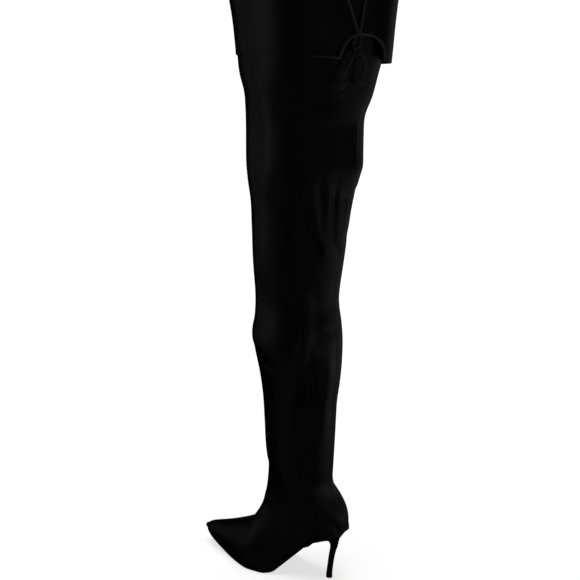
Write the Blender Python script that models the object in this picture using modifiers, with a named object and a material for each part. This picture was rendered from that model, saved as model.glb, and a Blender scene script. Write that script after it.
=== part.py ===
"""Left thigh-high stiletto boot: hollow stretch upper on a pointed last, covered heel, tied cuff.

Metres, +Z up. The origin is the centre of the heel top-piece's underside, on the floor.
+X runs to the toe and +Y to the outer side of the leg.
"""

import math
from collections import namedtuple

import bmesh
import bpy
from mathutils import Vector

# The last
LAST_LENGTH = 0.2382       # back of the heel to the toe tip, measured along the floor
HEEL_BACK = -0.0252        # back of the heel, behind the centre of the top-piece
BALL_WIDTH = 0.078
INSTEP_HEIGHT = 0.062      # floor to the corner where the vamp meets the shaft
HEEL_HEIGHT = 0.073        # floor to the feather line at the back of the heel
TOE_SPRING = 0.018

# The leg
ANKLE_DEPTH = 0.0985
ANKLE_WIDTH = 0.079
CALF_DEPTH = 0.128
CALF_WIDTH = 0.110
THIGH_DEPTH = 0.1565
THIGH_WIDTH = 0.143
COLLAR_DEPTH = 0.214
COLLAR_WIDTH = 0.200
COLLAR_HEIGHT = 0.803

# Thicknesses and clearances
WALL = 0.0016
SOLE_THICKNESS = 0.003
SOLE_INSET = 0.0006        # from the feather line in to the sole's edge
SEAT_INSET = 0.0035        # from the last's back in to the back of the covered heel
SOLE_END = 0.992           # share of the last where the sole stops
INSOLE_THICKNESS = 0.002
INSOLE_MARGIN = 0.0030     # from the feather line in to the insole's edge
INSOLE_START = 0.034       # shares of the last that the insole spans
INSOLE_END = 0.955
TOE_BULGE = 0.0035         # how far the toe tip rounds forwards past its last section
CUFF_THICKNESS = 0.0014
GAP = 0.0003
SEAT_LIFT = 0.02           # lift up to which a section still rests on the sole or the heel

# Covered heel
TIP_WIDTH = 0.0090
TIP_TAPER = 0.97           # top piece: its upper width against its foot
TOP_PIECE_THICKNESS = 0.006
HEEL_BREAST = 0.042        # back of the heel to its breast, along the floor
BREAST_SQUARE = 5          # squareness of the seat's front corners

# Cuff: a band round the collar, notched at the outer back and cut away in an arch under the notch
CUFF_DEPTH = 0.066         # collar to hem on the outer side, where the hem is highest
CUFF_FLARE = 0.008         # how far the hem stands off the leg at the inner back
FLARE_SPREAD = 2           # the higher, the narrower the flare is round the leg
FLARE_CURVE = 1.5          # the higher, the nearer the hem the flare begins
HEM_DROP = 0.028           # how much lower the hem hangs opposite its highest point
HEM_HIGH = 100             # bearing of that point: degrees from +X, turning to the outer side
NOTCH_BEARING = 152.5
NOTCH_LEAN = 4             # degrees from the notch's foot round to the middle of its mouth, towards the front
NOTCH_DEPTH = 0.042
NOTCH_WIDTH = 0.022
NOTCH_PULL = 0.060         # how far round from the notch its slant still pulls the band aside
FLARE_BEARING = 191        # where the cuff stands off most
SLIT_WIDTH = 0.0020        # between the cuff's two tips, where the tie holds them
ARCH_INNER = 0.052         # from the notch to where the arch meets the hem, towards the inner side
ARCH_OUTER = 0.020         # and towards the outer side

# Self tie that holds the cuff's tips together
TIE_DIAMETER = 0.0055
KNOT_WIDTH = 0.015
KNOT_HEIGHT = 0.014
KNOT_DEPTH = 0.009
KNOT_DROP = 0.018          # the knot's centre under the cuff's tips
KNOT_ASIDE = 0.002         # and how far it is drawn from there to the outer side
STRAND_LEAN = 0.45         # how far the straps spread where they leave the knot
TAIL_LENGTH = 0.033
LEAF_LENGTH = 0.014
LEAF_WIDTH = 0.010
LEAF_DEPTH = 0.0026

# Mesh density
FOOT_STEP = 0.5            # rows of the foot's table between rows of the upper
COLUMNS = 32
ARCH_COLUMNS = 7
PULL_COLUMNS = 5           # from the end of the arch to the end of the notch's pull
CUFF_ROWS = 6
OPEN_COLUMNS = 6           # underside columns left out, where the sole closes the upper
OPEN_FROM = 2              # first and last row of the foot's table in that opening
OPEN_TO = 14
SOLE_COLUMNS = 4
HEEL_SIDES = 24
TIP_SIDES = 24
BEAD_SIDES = 14
BEAD_ROWS = 8
TAIL_STEPS = 2             # cord points between two points of a tail's route
SLOPE_STEP = 0.005         # share of the last over which a slope is taken

# Underside of the upper along the last: shares of the last's length, of the heel height and of the toe spring
Arch = namedtuple("Arch", "along heel spring")
ARCH = (
    Arch(0.000, 1.000, 0.00),
    Arch(0.060, 0.975, 0.00),
    Arch(0.120, 0.900, 0.00),
    Arch(0.185, 0.790, 0.00),
    Arch(0.255, 0.660, 0.00),
    Arch(0.318, 0.445, 0.00),
    Arch(0.372, 0.195, 0.00),
    Arch(0.425, 0.040, 0.00),
    Arch(0.480, 0.000, 0.00),
    Arch(0.600, 0.000, 0.00),
    Arch(0.700, 0.000, 0.08),
    Arch(0.850, 0.000, 0.46),
    Arch(1.000, 0.000, 1.00),
)

# Sections of the foot from the toe to the ankle. base and crest are shares of the last's length from the
# heel back, lift and rise are shares of the instep height, climb is a share of the heel height, outer, inner
# and swing are shares of the ball width, belly is where the section is widest, flat is how flat its underside
# lies and edge is the share of the width that lies flat.
Foot = namedtuple("Foot", "base lift crest rise climb outer inner swing belly flat edge")
FOOT = (
    Foot(0.995, 0.00, 0.994, 0.450, 0.00, 0.050, 0.050, -0.030, 0.45, 1.00, 0.60),
    Foot(0.972, 0.00, 0.968, 0.515, 0.00, 0.112, 0.110, -0.030, 0.42, 1.00, 0.80),
    Foot(0.930, 0.00, 0.924, 0.575, 0.00, 0.185, 0.180, -0.028, 0.38, 1.00, 0.90),
    Foot(0.875, 0.00, 0.868, 0.640, 0.00, 0.258, 0.250, -0.024, 0.35, 1.00, 0.93),
    Foot(0.805, 0.00, 0.805, 0.725, 0.00, 0.345, 0.330, -0.018, 0.33, 1.00, 0.93),
    Foot(0.730, 0.00, 0.745, 0.820, 0.00, 0.438, 0.405, -0.010, 0.32, 1.00, 0.93),
    Foot(0.650, 0.00, 0.690, 0.915, 0.00, 0.532, 0.465, -0.002, 0.31, 1.00, 0.93),
    Foot(0.570, 0.00, 0.634, 1.030, 0.00, 0.600, 0.492, 0.004, 0.31, 1.00, 0.93),
    Foot(0.490, 0.00, 0.586, 1.120, 0.14, 0.590, 0.468, 0.008, 0.32, 1.00, 0.93),
    Foot(0.410, 0.00, 0.555, 1.150, 0.30, 0.525, 0.425, 0.008, 0.33, 1.00, 0.93),
    Foot(0.330, 0.00, 0.537, 1.170, 0.48, 0.455, 0.402, 0.006, 0.35, 1.00, 0.93),
    Foot(0.250, 0.00, 0.527, 1.200, 0.64, 0.435, 0.408, 0.002, 0.37, 1.00, 0.93),
    Foot(0.175, 0.00, 0.521, 1.240, 0.78, 0.432, 0.422, 0.000, 0.40, 1.00, 0.93),
    Foot(0.105, 0.00, 0.517, 1.290, 0.90, 0.440, 0.436, 0.000, 0.43, 1.00, 0.90),
    Foot(0.048, 0.00, 0.515, 1.340, 0.98, 0.452, 0.450, 0.000, 0.45, 1.00, 0.76),
    Foot(0.012, 0.02, 0.514, 1.400, 1.00, 0.466, 0.464, 0.000, 0.47, 1.00, 0.42),
    Foot(-0.010, 0.20, 0.514, 1.470, 1.00, 0.480, 0.478, 0.000, 0.48, 0.50, 0.25),
    Foot(-0.003, 0.44, 0.515, 1.540, 1.00, 0.492, 0.492, 0.000, 0.49, 0.12, 0.25),
    Foot(0.046, 0.69, 0.516, 1.610, 1.00, 0.500, 0.500, 0.000, 0.50, 0.00, 0.25),
    Foot(0.094, 0.94, 0.517, 1.690, 1.00, 0.505, 0.505, 0.000, 0.50, 0.00, 0.25),
)

# Sections of the shaft from the ankle to the collar. height is a share of the way from the heel height to the
# collar, centre is a share of the last's length from the heel back, slant is a share of the ankle depth.
Shaft = namedtuple("Shaft", "height centre depth width slant")
SHAFT = (
    Shaft(0.126, 0.315, ANKLE_DEPTH * 0.997, ANKLE_WIDTH * 1.00, 0.40),
    Shaft(0.150, 0.315, ANKLE_DEPTH * 1.015, ANKLE_WIDTH * 1.04, 0.30),
    Shaft(0.180, 0.313, ANKLE_DEPTH * 1.030, ANKLE_WIDTH * 1.08, 0.19),
    Shaft(0.215, 0.312, ANKLE_DEPTH * 1.050, ANKLE_WIDTH * 1.11, 0.10),
    Shaft(0.256, 0.312, CALF_DEPTH * 0.830, CALF_WIDTH * 0.820, 0.04),
    Shaft(0.295, 0.310, CALF_DEPTH * 0.885, CALF_WIDTH * 0.875, 0.01),
    Shaft(0.335, 0.316, CALF_DEPTH * 0.945, CALF_WIDTH * 0.940, 0.00),
    Shaft(0.372, 0.329, CALF_DEPTH * 1.000, CALF_WIDTH * 1.000, 0.00),
    Shaft(0.410, 0.326, CALF_DEPTH * 0.960, CALF_WIDTH * 0.970, 0.00),
    Shaft(0.455, 0.332, CALF_DEPTH * 0.912, CALF_WIDTH * 0.930, 0.00),
    Shaft(0.530, 0.324, CALF_DEPTH * 0.985, CALF_WIDTH * 1.017, 0.00),
    Shaft(0.585, 0.314, THIGH_DEPTH * 0.842, THIGH_WIDTH * 0.822, 0.00),
    Shaft(0.635, 0.304, THIGH_DEPTH * 0.880, THIGH_WIDTH * 0.864, 0.00),
    Shaft(0.675, 0.295, THIGH_DEPTH * 0.950, THIGH_WIDTH * 0.940, 0.00),
    Shaft(0.715, 0.285, THIGH_DEPTH * 1.000, THIGH_WIDTH * 0.995, 0.00),
    Shaft(0.784, 0.283, THIGH_DEPTH * 0.998, THIGH_WIDTH * 1.004, 0.00),
    Shaft(0.828, 0.260, COLLAR_DEPTH * 0.782, COLLAR_WIDTH * 0.775, 0.00),
    Shaft(0.870, 0.259, COLLAR_DEPTH * 0.850, COLLAR_WIDTH * 0.846, 0.00),
    Shaft(0.914, 0.244, COLLAR_DEPTH * 0.902, COLLAR_WIDTH * 0.900, 0.00),
    Shaft(0.958, 0.234, COLLAR_DEPTH * 0.950, COLLAR_WIDTH * 0.948, 0.00),
    Shaft(1.000, 0.231, COLLAR_DEPTH * 1.000, COLLAR_WIDTH * 1.000, 0.00),
)

# Covered heel from the tip to the seat. height is a share of the heel height, lean of the way from the tip
# to the back of the heel, stem of the tip's width, and seat of the way from the round stem to the outline of
# the seat.
Heel = namedtuple("Heel", "height lean stem seat")
HEEL = (
    Heel(0.080, 0.00, 0.94, 0.00),
    Heel(0.250, 0.06, 0.92, 0.00),
    Heel(0.450, 0.14, 0.96, 0.00),
    Heel(0.600, 0.23, 1.04, 0.00),
    Heel(0.700, 0.30, 1.14, 0.02),
    Heel(0.780, 0.32, 1.16, 0.10),
    Heel(0.845, 0.28, 1.16, 0.30),
    Heel(0.905, 0.16, 1.16, 0.60),
    Heel(0.955, 0.06, 1.16, 0.84),
    Heel(1.000, 0.00, 1.16, 1.00),
)

# Routes of the tie's two ends, as shares of their length: to the inner side, outwards and up, from the knot
TAIL_OUTER = (
    (0.00, 0.00, 0.00),
    (-0.10, 0.00, -0.16),
    (-0.22, -0.01, -0.36),
    (-0.33, -0.03, -0.58),
    (-0.40, -0.06, -0.82),
)
TAIL_INNER = (
    (0.00, 0.00, 0.00),
    (0.13, 0.00, -0.15),
    (0.22, -0.04, -0.37),
    (0.24, -0.12, -0.61),
    (0.20, -0.22, -0.83),
)

COLOURS = {
    "leather": ((0.012, 0.012, 0.013), 0.38, 0.0),
    "heel_leather": ((0.010, 0.010, 0.011), 0.34, 0.0),
    "sole": ((0.016, 0.016, 0.016), 0.55, 0.0),
    "insole": ((0.030, 0.028, 0.027), 0.62, 0.0),
    "top_piece": ((0.014, 0.014, 0.014), 0.70, 0.0),
    "tie": ((0.012, 0.012, 0.013), 0.42, 0.0),
}

Section = namedtuple("Section", "base_x base_z crest_x crest_z outer inner swing belly flat edge")


def clear_scene():
    for obj in list(bpy.data.objects):
        bpy.data.objects.remove(obj, do_unlink=True)


def material(name):
    colour, roughness, metallic = COLOURS[name]
    made = bpy.data.materials.get(name) or bpy.data.materials.new(name)
    made.use_nodes = True
    shader = made.node_tree.nodes["Principled BSDF"]
    shader.inputs["Base Color"].default_value = (*colour, 1.0)
    shader.inputs["Roughness"].default_value = roughness
    shader.inputs["Metallic"].default_value = metallic
    return made


def smooth(keys, values, at):
    """A curve through the values that neither overshoots them nor bends at a flat stretch."""
    if at <= keys[0]:
        return values[0]
    if at >= keys[-1]:
        return values[-1]
    steps = [(b - a) / (q - p) for p, q, a, b in zip(keys, keys[1:], values, values[1:])]
    slopes = [steps[0]]
    for before, after in zip(steps, steps[1:]):
        slopes.append(0.0 if before * after <= 0 else 2 * before * after / (before + after))
    slopes.append(steps[-1])
    i = max(k for k in range(len(keys) - 1) if keys[k] <= at)
    span = keys[i + 1] - keys[i]
    t = (at - keys[i]) / span
    return (
        values[i] * (1 + 2 * t) * (1 - t) ** 2
        + slopes[i] * span * t * (1 - t) ** 2
        + values[i + 1] * t * t * (3 - 2 * t)
        + slopes[i + 1] * span * t * t * (t - 1)
    )


def along_last(share):
    return HEEL_BACK + share * LAST_LENGTH


def share_of_last(x):
    return (x - HEEL_BACK) / LAST_LENGTH


def feather(share):
    """Height of the upper's underside, which rests on the sole and the heel."""
    keys = [row.along for row in ARCH]
    floor = SOLE_THICKNESS + GAP
    heel = smooth(keys, [row.heel for row in ARCH], share) * (HEEL_HEIGHT - floor)
    return floor + heel + smooth(keys, [row.spring for row in ARCH], share) * TOE_SPRING


def foot_section(row):
    return Section(
        along_last(row.base),
        feather(row.base) + row.lift * INSTEP_HEIGHT,
        along_last(row.crest),
        row.rise * INSTEP_HEIGHT + row.climb * HEEL_HEIGHT,
        row.outer * BALL_WIDTH,
        row.inner * BALL_WIDTH,
        row.swing * BALL_WIDTH,
        row.belly,
        row.flat,
        row.edge,
    )


def shaft_section(row):
    height = HEEL_HEIGHT + row.height * (COLLAR_HEIGHT - HEEL_HEIGHT)
    centre = along_last(row.centre)
    tilt = row.slant * ANKLE_DEPTH / 2
    half = row.depth / 2
    side = row.width / 2
    low, high = height - tilt, height + tilt
    return Section(centre - half, low, centre + half, high, side, side, 0.0, 0.5, 0.0, FOOT[-1].edge)


def foot_at(station):
    """The foot's section between two rows of its table."""
    stations = list(range(len(FOOT)))
    values = [smooth(stations, column, station) for column in zip(*FOOT)]
    return foot_section(Foot(*values))


STATIONS = [k * FOOT_STEP for k in range(int((len(FOOT) - 1) / FOOT_STEP) + 1)]
FOOT_SECTIONS = [foot_at(station) for station in STATIONS]
SHAFT_SECTIONS = [shaft_section(row) for row in SHAFT]


def ring_point(section, angle, grow=0.0):
    """A point of a section's closed outline, grown outwards. At 0 it is the outer side, at pi/2 the crest.

    Under the widest part the outline blends from an ellipse into a flat underside with upright walls.
    """
    across, rise = math.cos(angle), math.sin(angle)
    reach, part = across, rise
    if rise < 0:
        corner = abs(math.remainder(angle + math.pi / 2, 2 * math.pi)) / (math.pi / 4)
        wall = math.sin((corner - 1) * math.pi / 2) if corner > 1 else 0.0
        flat_reach = math.copysign(section.edge * min(corner, 1) + (1 - section.edge) * wall, across)
        flat_part = -math.cos((corner - 1) * math.pi / 2) if corner > 1 else -1.0
        reach += (flat_reach - across) * section.flat
        part += (flat_part - rise) * section.flat
    side = (section.outer if across > 0 else section.inner) + grow
    base = Vector((section.base_x, 0, section.base_z))
    axis = Vector((section.crest_x, 0, section.crest_z)) - base
    above = section.belly + part * (1 - section.belly if part > 0 else section.belly)
    point = base + axis * above + axis.normalized() * grow * part
    return Vector((point.x, section.swing + reach * side, point.z))


def mean_radius(section):
    return (section.outer + (section.crest_x - section.base_x) / 2) / 2


def level_section(height):
    """The shaft's section at this height, on the straight facets between its rows."""
    rows = SHAFT_SECTIONS
    heights = [(row.base_z + row.crest_z) / 2 for row in rows]
    i = max(k for k in range(len(rows) - 1) if heights[k] <= height)
    share = (height - heights[i]) / (heights[i + 1] - heights[i])
    return Section(*(low + (high - low) * share for low, high in zip(rows[i], rows[i + 1])))


def half_widths(share):
    """Outer edge and inner edge of the last over its feather line."""
    rows = [row for row in FOOT if row.lift <= SEAT_LIFT][::-1]
    keys = [row.base for row in rows]
    swing = smooth(keys, [row.swing for row in rows], share)
    outer = smooth(keys, [row.outer * row.edge for row in rows], share)
    inner = smooth(keys, [row.inner * row.edge for row in rows], share)
    return (swing + outer) * BALL_WIDTH, (swing - inner) * BALL_WIDTH


def add_object(name, mesh, slot, collection):
    obj = bpy.data.objects.new(name, mesh)
    collection.objects.link(obj)
    obj.data.materials.append(material(slot))
    return obj


def add_grid(name, rows, slot, collection, wrap=False, skip=None, cap=False):
    """A surface through rows of points, closed across when wrap is set. skip leaves faces out."""
    bm = bmesh.new()
    grid = [[bm.verts.new(point) for point in row] for row in rows]
    for i, (near, far) in enumerate(zip(grid, grid[1:])):
        count = len(near)
        for j in range(count if wrap else count - 1):
            if skip and skip(i, j):
                continue
            k = (j + 1) % count
            bm.faces.new((far[j], far[k], near[k], near[j]))
    if cap:
        tip = bm.verts.new(sum((v.co for v in grid[0]), Vector()) / len(grid[0]) + cap)
        for j, vert in enumerate(grid[0]):
            bm.faces.new((tip, vert, grid[0][(j + 1) % len(grid[0])]))
    loose = [v for v in bm.verts if not v.link_faces]
    bmesh.ops.delete(bm, geom=loose, context="VERTS")
    mesh = bpy.data.meshes.new(name)
    bm.to_mesh(mesh)
    bm.free()
    mesh.shade_smooth()
    return add_object(name, mesh, slot, collection)


def add_wall(obj, thickness, offset):
    wall = obj.modifiers.new("wall", "SOLIDIFY")
    wall.thickness = thickness
    wall.offset = offset
    return wall


def make_upper(collection):
    angles = [-math.pi / 2 + 2 * math.pi * j / COLUMNS for j in range(COLUMNS)]
    rows = [[ring_point(section, angle) for angle in angles] for section in FOOT_SECTIONS + SHAFT_SECTIONS]

    def underside(i, j):
        middle = min(j, COLUMNS - 1 - j) < OPEN_COLUMNS / 2
        return middle and i < len(STATIONS) and OPEN_FROM <= STATIONS[i] < OPEN_TO

    bulge = Vector((TOE_BULGE, 0, 0))
    upper = add_grid("upper", rows, "leather", collection, wrap=True, skip=underside, cap=bulge)
    add_wall(upper, WALL, -1)
    return upper


def rise_across(share, thickness):
    """How much a layer this thick, square to the slope of the feather line, raises the height there."""
    slope = (feather(share + SLOPE_STEP) - feather(share - SLOPE_STEP)) / (2 * SLOPE_STEP * LAST_LENGTH)
    return thickness * math.sqrt(1 + slope ** 2)


def sole_rows(start, end, inset, height):
    """Points across a sole or insole over the feather line, with the upper's own rows between its ends."""
    shares = sorted(share_of_last(section.base_x) for section in FOOT_SECTIONS)
    shares = [start] + [s for s in shares if start + SLOPE_STEP < s < end - SLOPE_STEP] + [end]
    rows = []
    for share in shares:
        outer, inner = half_widths(share)
        outer, inner = outer - inset, inner + inset
        x, z = along_last(share), feather(share) + rise_across(share, height)
        across = [inner + (outer - inner) * j / SOLE_COLUMNS for j in range(SOLE_COLUMNS + 1)]
        rows.append([Vector((x, y, z)) for y in across])
    return rows


def make_outsole(collection):
    start = share_of_last(HEEL_BACK + HEEL_BREAST + GAP)
    rows = sole_rows(start, SOLE_END, SOLE_INSET, -GAP)
    outsole = add_grid("outsole", rows, "sole", collection)
    add_wall(outsole, SOLE_THICKNESS, -1)
    return outsole


def make_insole(collection):
    rows = sole_rows(INSOLE_START, INSOLE_END, INSOLE_MARGIN, WALL + GAP)
    insole = add_grid("insole", rows, "insole", collection)
    add_wall(insole, INSOLE_THICKNESS, 1)
    return insole


def heel_row(row):
    """One outline of the covered heel, which grows from the round stem into the seat's horseshoe."""
    stem = row.stem * TIP_WIDTH / 2
    centre = row.lean * HEEL_BACK
    back = -HEEL_BACK - SEAT_INSET
    front = HEEL_BACK + HEEL_BREAST
    outer, inner = half_widths(share_of_last(0.0))
    points = []
    for k in range(HEEL_SIDES):
        angle = 2 * math.pi * k / HEEL_SIDES
        across, ahead = math.sin(angle), math.cos(angle)
        square = BREAST_SQUARE if ahead > 0 else 2
        seat_x = math.copysign(abs(ahead) ** (2 / square), ahead) * (front if ahead > 0 else back)
        seat_y = math.copysign(abs(across) ** (2 / square), across) * (outer if across > 0 else -inner)
        x = centre + stem * ahead * (1 - row.seat) + (seat_x - centre) * row.seat
        y = stem * across * (1 - row.seat) + seat_y * row.seat
        drop = feather(share_of_last(x)) - GAP - HEEL_HEIGHT
        points.append(Vector((x, y, row.height * HEEL_HEIGHT + drop * row.seat)))
    return points


def make_heel(collection):
    rows = [heel_row(row) for row in HEEL]
    rows[0] = [Vector((p.x, p.y, TOP_PIECE_THICKNESS + GAP)) for p in rows[0]]
    bm = bmesh.new()
    grid = [[bm.verts.new(point) for point in row] for row in rows]
    for near, far in zip(grid, grid[1:]):
        for j in range(HEEL_SIDES):
            k = (j + 1) % HEEL_SIDES
            bm.faces.new((near[j], near[k], far[k], far[j]))
    bm.faces.new(grid[0])
    top = grid[-1]
    for j in range(HEEL_SIDES // 2):
        corners = (top[j], top[j + 1], top[-j - 1], top[-j])
        bm.faces.new(dict.fromkeys(corners))
    bmesh.ops.recalc_face_normals(bm, faces=bm.faces)
    mesh = bpy.data.meshes.new("heel")
    bm.to_mesh(mesh)
    bm.free()
    mesh.shade_smooth()
    return add_object("heel", mesh, "heel_leather", collection)


def make_top_piece(collection):
    bm = bmesh.new()
    foot = TIP_WIDTH / 2
    sizes = {"radius1": foot, "radius2": foot * TIP_TAPER, "depth": TOP_PIECE_THICKNESS}
    bmesh.ops.create_cone(bm, cap_ends=True, segments=TIP_SIDES, **sizes)
    bmesh.ops.translate(bm, verts=bm.verts, vec=(0, 0, TOP_PIECE_THICKNESS / 2))
    mesh = bpy.data.meshes.new("top_piece")
    bm.to_mesh(mesh)
    bm.free()
    return add_object("top_piece", mesh, "top_piece", collection)


def turned(bearing, middle):
    """Degrees from one bearing to the other, the short way round."""
    return math.degrees(math.remainder(math.radians(bearing - middle), 2 * math.pi))


def cuff_flare(bearing, depth):
    """How far the cuff stands off the shaft: most at the hem of the inner back, nothing at the collar."""
    near = max(0.0, math.cos(math.radians(turned(bearing, FLARE_BEARING))))
    return CUFF_FLARE * near ** FLARE_SPREAD * (depth / CUFF_DEPTH) ** FLARE_CURVE


def from_notch(arc, girth):
    """Distance from the notch, the arch's reach on that side and which way the bearing turns there."""
    if arc < girth / 2:
        return arc, ARCH_INNER, 1
    return girth - arc, ARCH_OUTER, -1


def cuff_hem(away, reach, bearing):
    """Depth of the hem under the collar, this far from the notch: an arch, then a hem that drops."""
    hem = CUFF_DEPTH + HEM_DROP * (1 - math.cos(math.radians(bearing - HEM_HIGH))) / 2
    share = min(1.0, away / reach)
    return hem if share == 1 else NOTCH_DEPTH + (hem - NOTCH_DEPTH) * (1 - math.sqrt(1 - share ** 2))


def side_arcs(reach):
    """Distances from the notch to one side: close together along the arch, then evenly while it pulls."""
    arch = [reach * math.sin(math.pi / 2 * k / ARCH_COLUMNS) for k in range(ARCH_COLUMNS + 1)]
    return arch + [reach + (NOTCH_PULL - reach) * (k + 1) / PULL_COLUMNS for k in range(PULL_COLUMNS)]


def cuff_arcs(girth):
    """Distances round the collar from the notch, over the upper's columns where the notch pulls no more."""
    columns = [girth * ((j / COLUMNS - NOTCH_BEARING / 360) % 1) for j in range(COLUMNS)]
    middle = sorted(arc for arc in columns if NOTCH_PULL < arc < girth - NOTCH_PULL)
    return side_arcs(ARCH_INNER) + middle + [girth - arc for arc in reversed(side_arcs(ARCH_OUTER))]


def cuff_bearing(arc, depth, girth):
    """Bearing of a column of the cuff, pushed aside by the notch."""
    away, _, side = from_notch(arc, girth)
    above = max(0.0, 1 - depth / NOTCH_DEPTH)
    open_half = (SLIT_WIDTH + NOTCH_WIDTH * above) / 2
    pull = max(0.0, 1 - away / NOTCH_PULL)
    return NOTCH_BEARING + 360 * (arc + side * open_half * pull) / girth - NOTCH_LEAN * above * pull


def make_cuff(collection):
    girth = 2 * math.pi * mean_radius(SHAFT_SECTIONS[-1])
    rows = []
    for i in range(CUFF_ROWS + 1):
        row = []
        for arc in cuff_arcs(girth):
            away, reach, _ = from_notch(arc, girth)
            depth = cuff_hem(away, reach, NOTCH_BEARING + 360 * arc / girth) * i / CUFF_ROWS
            bearing = cuff_bearing(arc, depth, girth)
            section = level_section(COLLAR_HEIGHT - depth)
            row.append(ring_point(section, math.radians(90 - bearing), GAP + cuff_flare(bearing, depth)))
        rows.append(row)
    cuff = add_grid("cuff", rows, "leather", collection)
    add_wall(cuff, CUFF_THICKNESS, 1)
    return cuff


def catmull(points, per_span):
    """Points of a smooth curve through the given ones."""
    route = [Vector(p) for p in points]
    ends = [route[0] * 2 - route[1]] + route + [route[-1] * 2 - route[-2]]
    curve = []
    for a, b, c, d in zip(ends, ends[1:], ends[2:], ends[3:]):
        for k in range(per_span):
            t = k / per_span
            bend = (a * 2 - b * 5 + c * 4 - d) * t * t + (b * 3 - a - c * 3 + d) * t ** 3
            curve.append((b * 2 + (c - a) * t + bend) / 2)
    return curve + [route[-1]]


def tip_point(sideways, drop):
    """A point in the cuff's mid thickness at the notch, this far to the inner side and under its tips."""
    section = level_section(COLLAR_HEIGHT - NOTCH_DEPTH)
    bearing = NOTCH_BEARING + math.degrees(sideways / mean_radius(section))
    stand = GAP + cuff_flare(bearing, NOTCH_DEPTH) + CUFF_THICKNESS / 2
    return ring_point(section, math.radians(90 - bearing), stand) - Vector((0, 0, drop))


def knot_axes():
    """Directions to the inner side, outwards and up at the knot."""
    side = tip_point(TIE_DIAMETER - KNOT_ASIDE, KNOT_DROP) - tip_point(-TIE_DIAMETER - KNOT_ASIDE, KNOT_DROP)
    side = Vector((side.x, side.y, 0)).normalized()
    up = Vector((0, 0, 1))
    return side, up.cross(side) * math.copysign(1, up.cross(side).y), up


def combine(axes, parts):
    return axes[0] * parts[0] + axes[1] * parts[1] + axes[2] * parts[2]


def knot_exit(way):
    """How far from the knot's centre a cord that leaves it this way begins."""
    sizes = (KNOT_WIDTH, KNOT_DEPTH, KNOT_HEIGHT)
    return math.sqrt(sum((part * size / 2) ** 2 for part, size in zip(way, sizes))) + GAP


def add_bead(name, centre, axes, sizes, collection):
    """An ellipsoid with these axes and sizes."""
    bm = bmesh.new()
    bmesh.ops.create_uvsphere(bm, u_segments=BEAD_SIDES, v_segments=BEAD_ROWS, radius=0.5)
    for vert in bm.verts:
        vert.co = centre + combine(axes, [part * size for part, size in zip(vert.co, sizes)])
    bm.normal_update()
    bmesh.ops.recalc_face_normals(bm, faces=bm.faces)
    mesh = bpy.data.meshes.new(name)
    bm.to_mesh(mesh)
    bm.free()
    mesh.shade_smooth()
    return add_object(name, mesh, "tie", collection)


def add_cord(name, points, collection):
    curve = bpy.data.curves.new(name, "CURVE")
    curve.dimensions = "3D"
    curve.bevel_depth = TIE_DIAMETER / 2
    curve.bevel_resolution = 2
    curve.use_fill_caps = True
    spline = curve.splines.new("POLY")
    spline.points.add(len(points) - 1)
    for vert, point in zip(spline.points, points):
        vert.co = (*point, 1)
    return add_object(name, curve, "tie", collection)


def make_strand(side, sideways, knot, axes, collection):
    """A short strap from one of the cuff's tips down to the knot."""
    reach = ARCH_INNER if sideways > 0 else ARCH_OUTER
    hem = cuff_hem(abs(sideways) + TIE_DIAMETER / 2, reach, NOTCH_BEARING) - NOTCH_DEPTH + GAP
    way = Vector((math.copysign(STRAND_LEAN, sideways), 0, 1)).normalized()
    start = combine(axes, way * knot_exit(way))
    bend = combine(axes, way * (knot_exit(way) + TIE_DIAMETER / 2))
    end = [tip_point(sideways, hem + TIE_DIAMETER / 2), tip_point(sideways, hem)]
    add_cord("tie_strand_" + side, [knot + start, knot + bend] + end, collection)


def make_tail(side, route, knot, axes, collection):
    """One end of the tie and the folded leaf at its tip."""
    way = Vector(route[1]).normalized()
    start = knot + combine(axes, way * knot_exit(way))
    points = [start + combine(axes, Vector(step) * TAIL_LENGTH) for step in catmull(route, TAIL_STEPS)]
    add_cord("tie_tail_" + side, points, collection)
    down = (points[-1] - points[-2]).normalized()
    across = (axes[0] - down * axes[0].dot(down)).normalized()
    centre = points[-1] + down * (LEAF_LENGTH / 2 + GAP)
    sizes = (LEAF_WIDTH, LEAF_DEPTH, LEAF_LENGTH)
    add_bead("tie_leaf_" + side, centre, (across, down.cross(across), down), sizes, collection)


def make_tie(collection):
    axes = knot_axes()
    knot = tip_point(-KNOT_ASIDE, KNOT_DROP)
    add_bead("tie_knot", knot, axes, (KNOT_WIDTH, KNOT_DEPTH, KNOT_HEIGHT), collection)
    apart = (SLIT_WIDTH + TIE_DIAMETER) / 2
    make_strand("inner", apart, knot, axes, collection)
    make_strand("outer", -apart, knot, axes, collection)
    make_tail("inner", TAIL_INNER, knot, axes, collection)
    make_tail("outer", TAIL_OUTER, knot, axes, collection)


def main():
    clear_scene()
    collection = bpy.data.collections.new("thigh_high_boot")
    bpy.context.scene.collection.children.link(collection)
    make_upper(collection)
    make_insole(collection)
    make_outsole(collection)
    make_heel(collection)
    make_top_piece(collection)
    make_cuff(collection)
    make_tie(collection)


main()
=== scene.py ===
import math

import bmesh
import bpy
import numpy as np
from mathutils import Matrix, Vector


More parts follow.
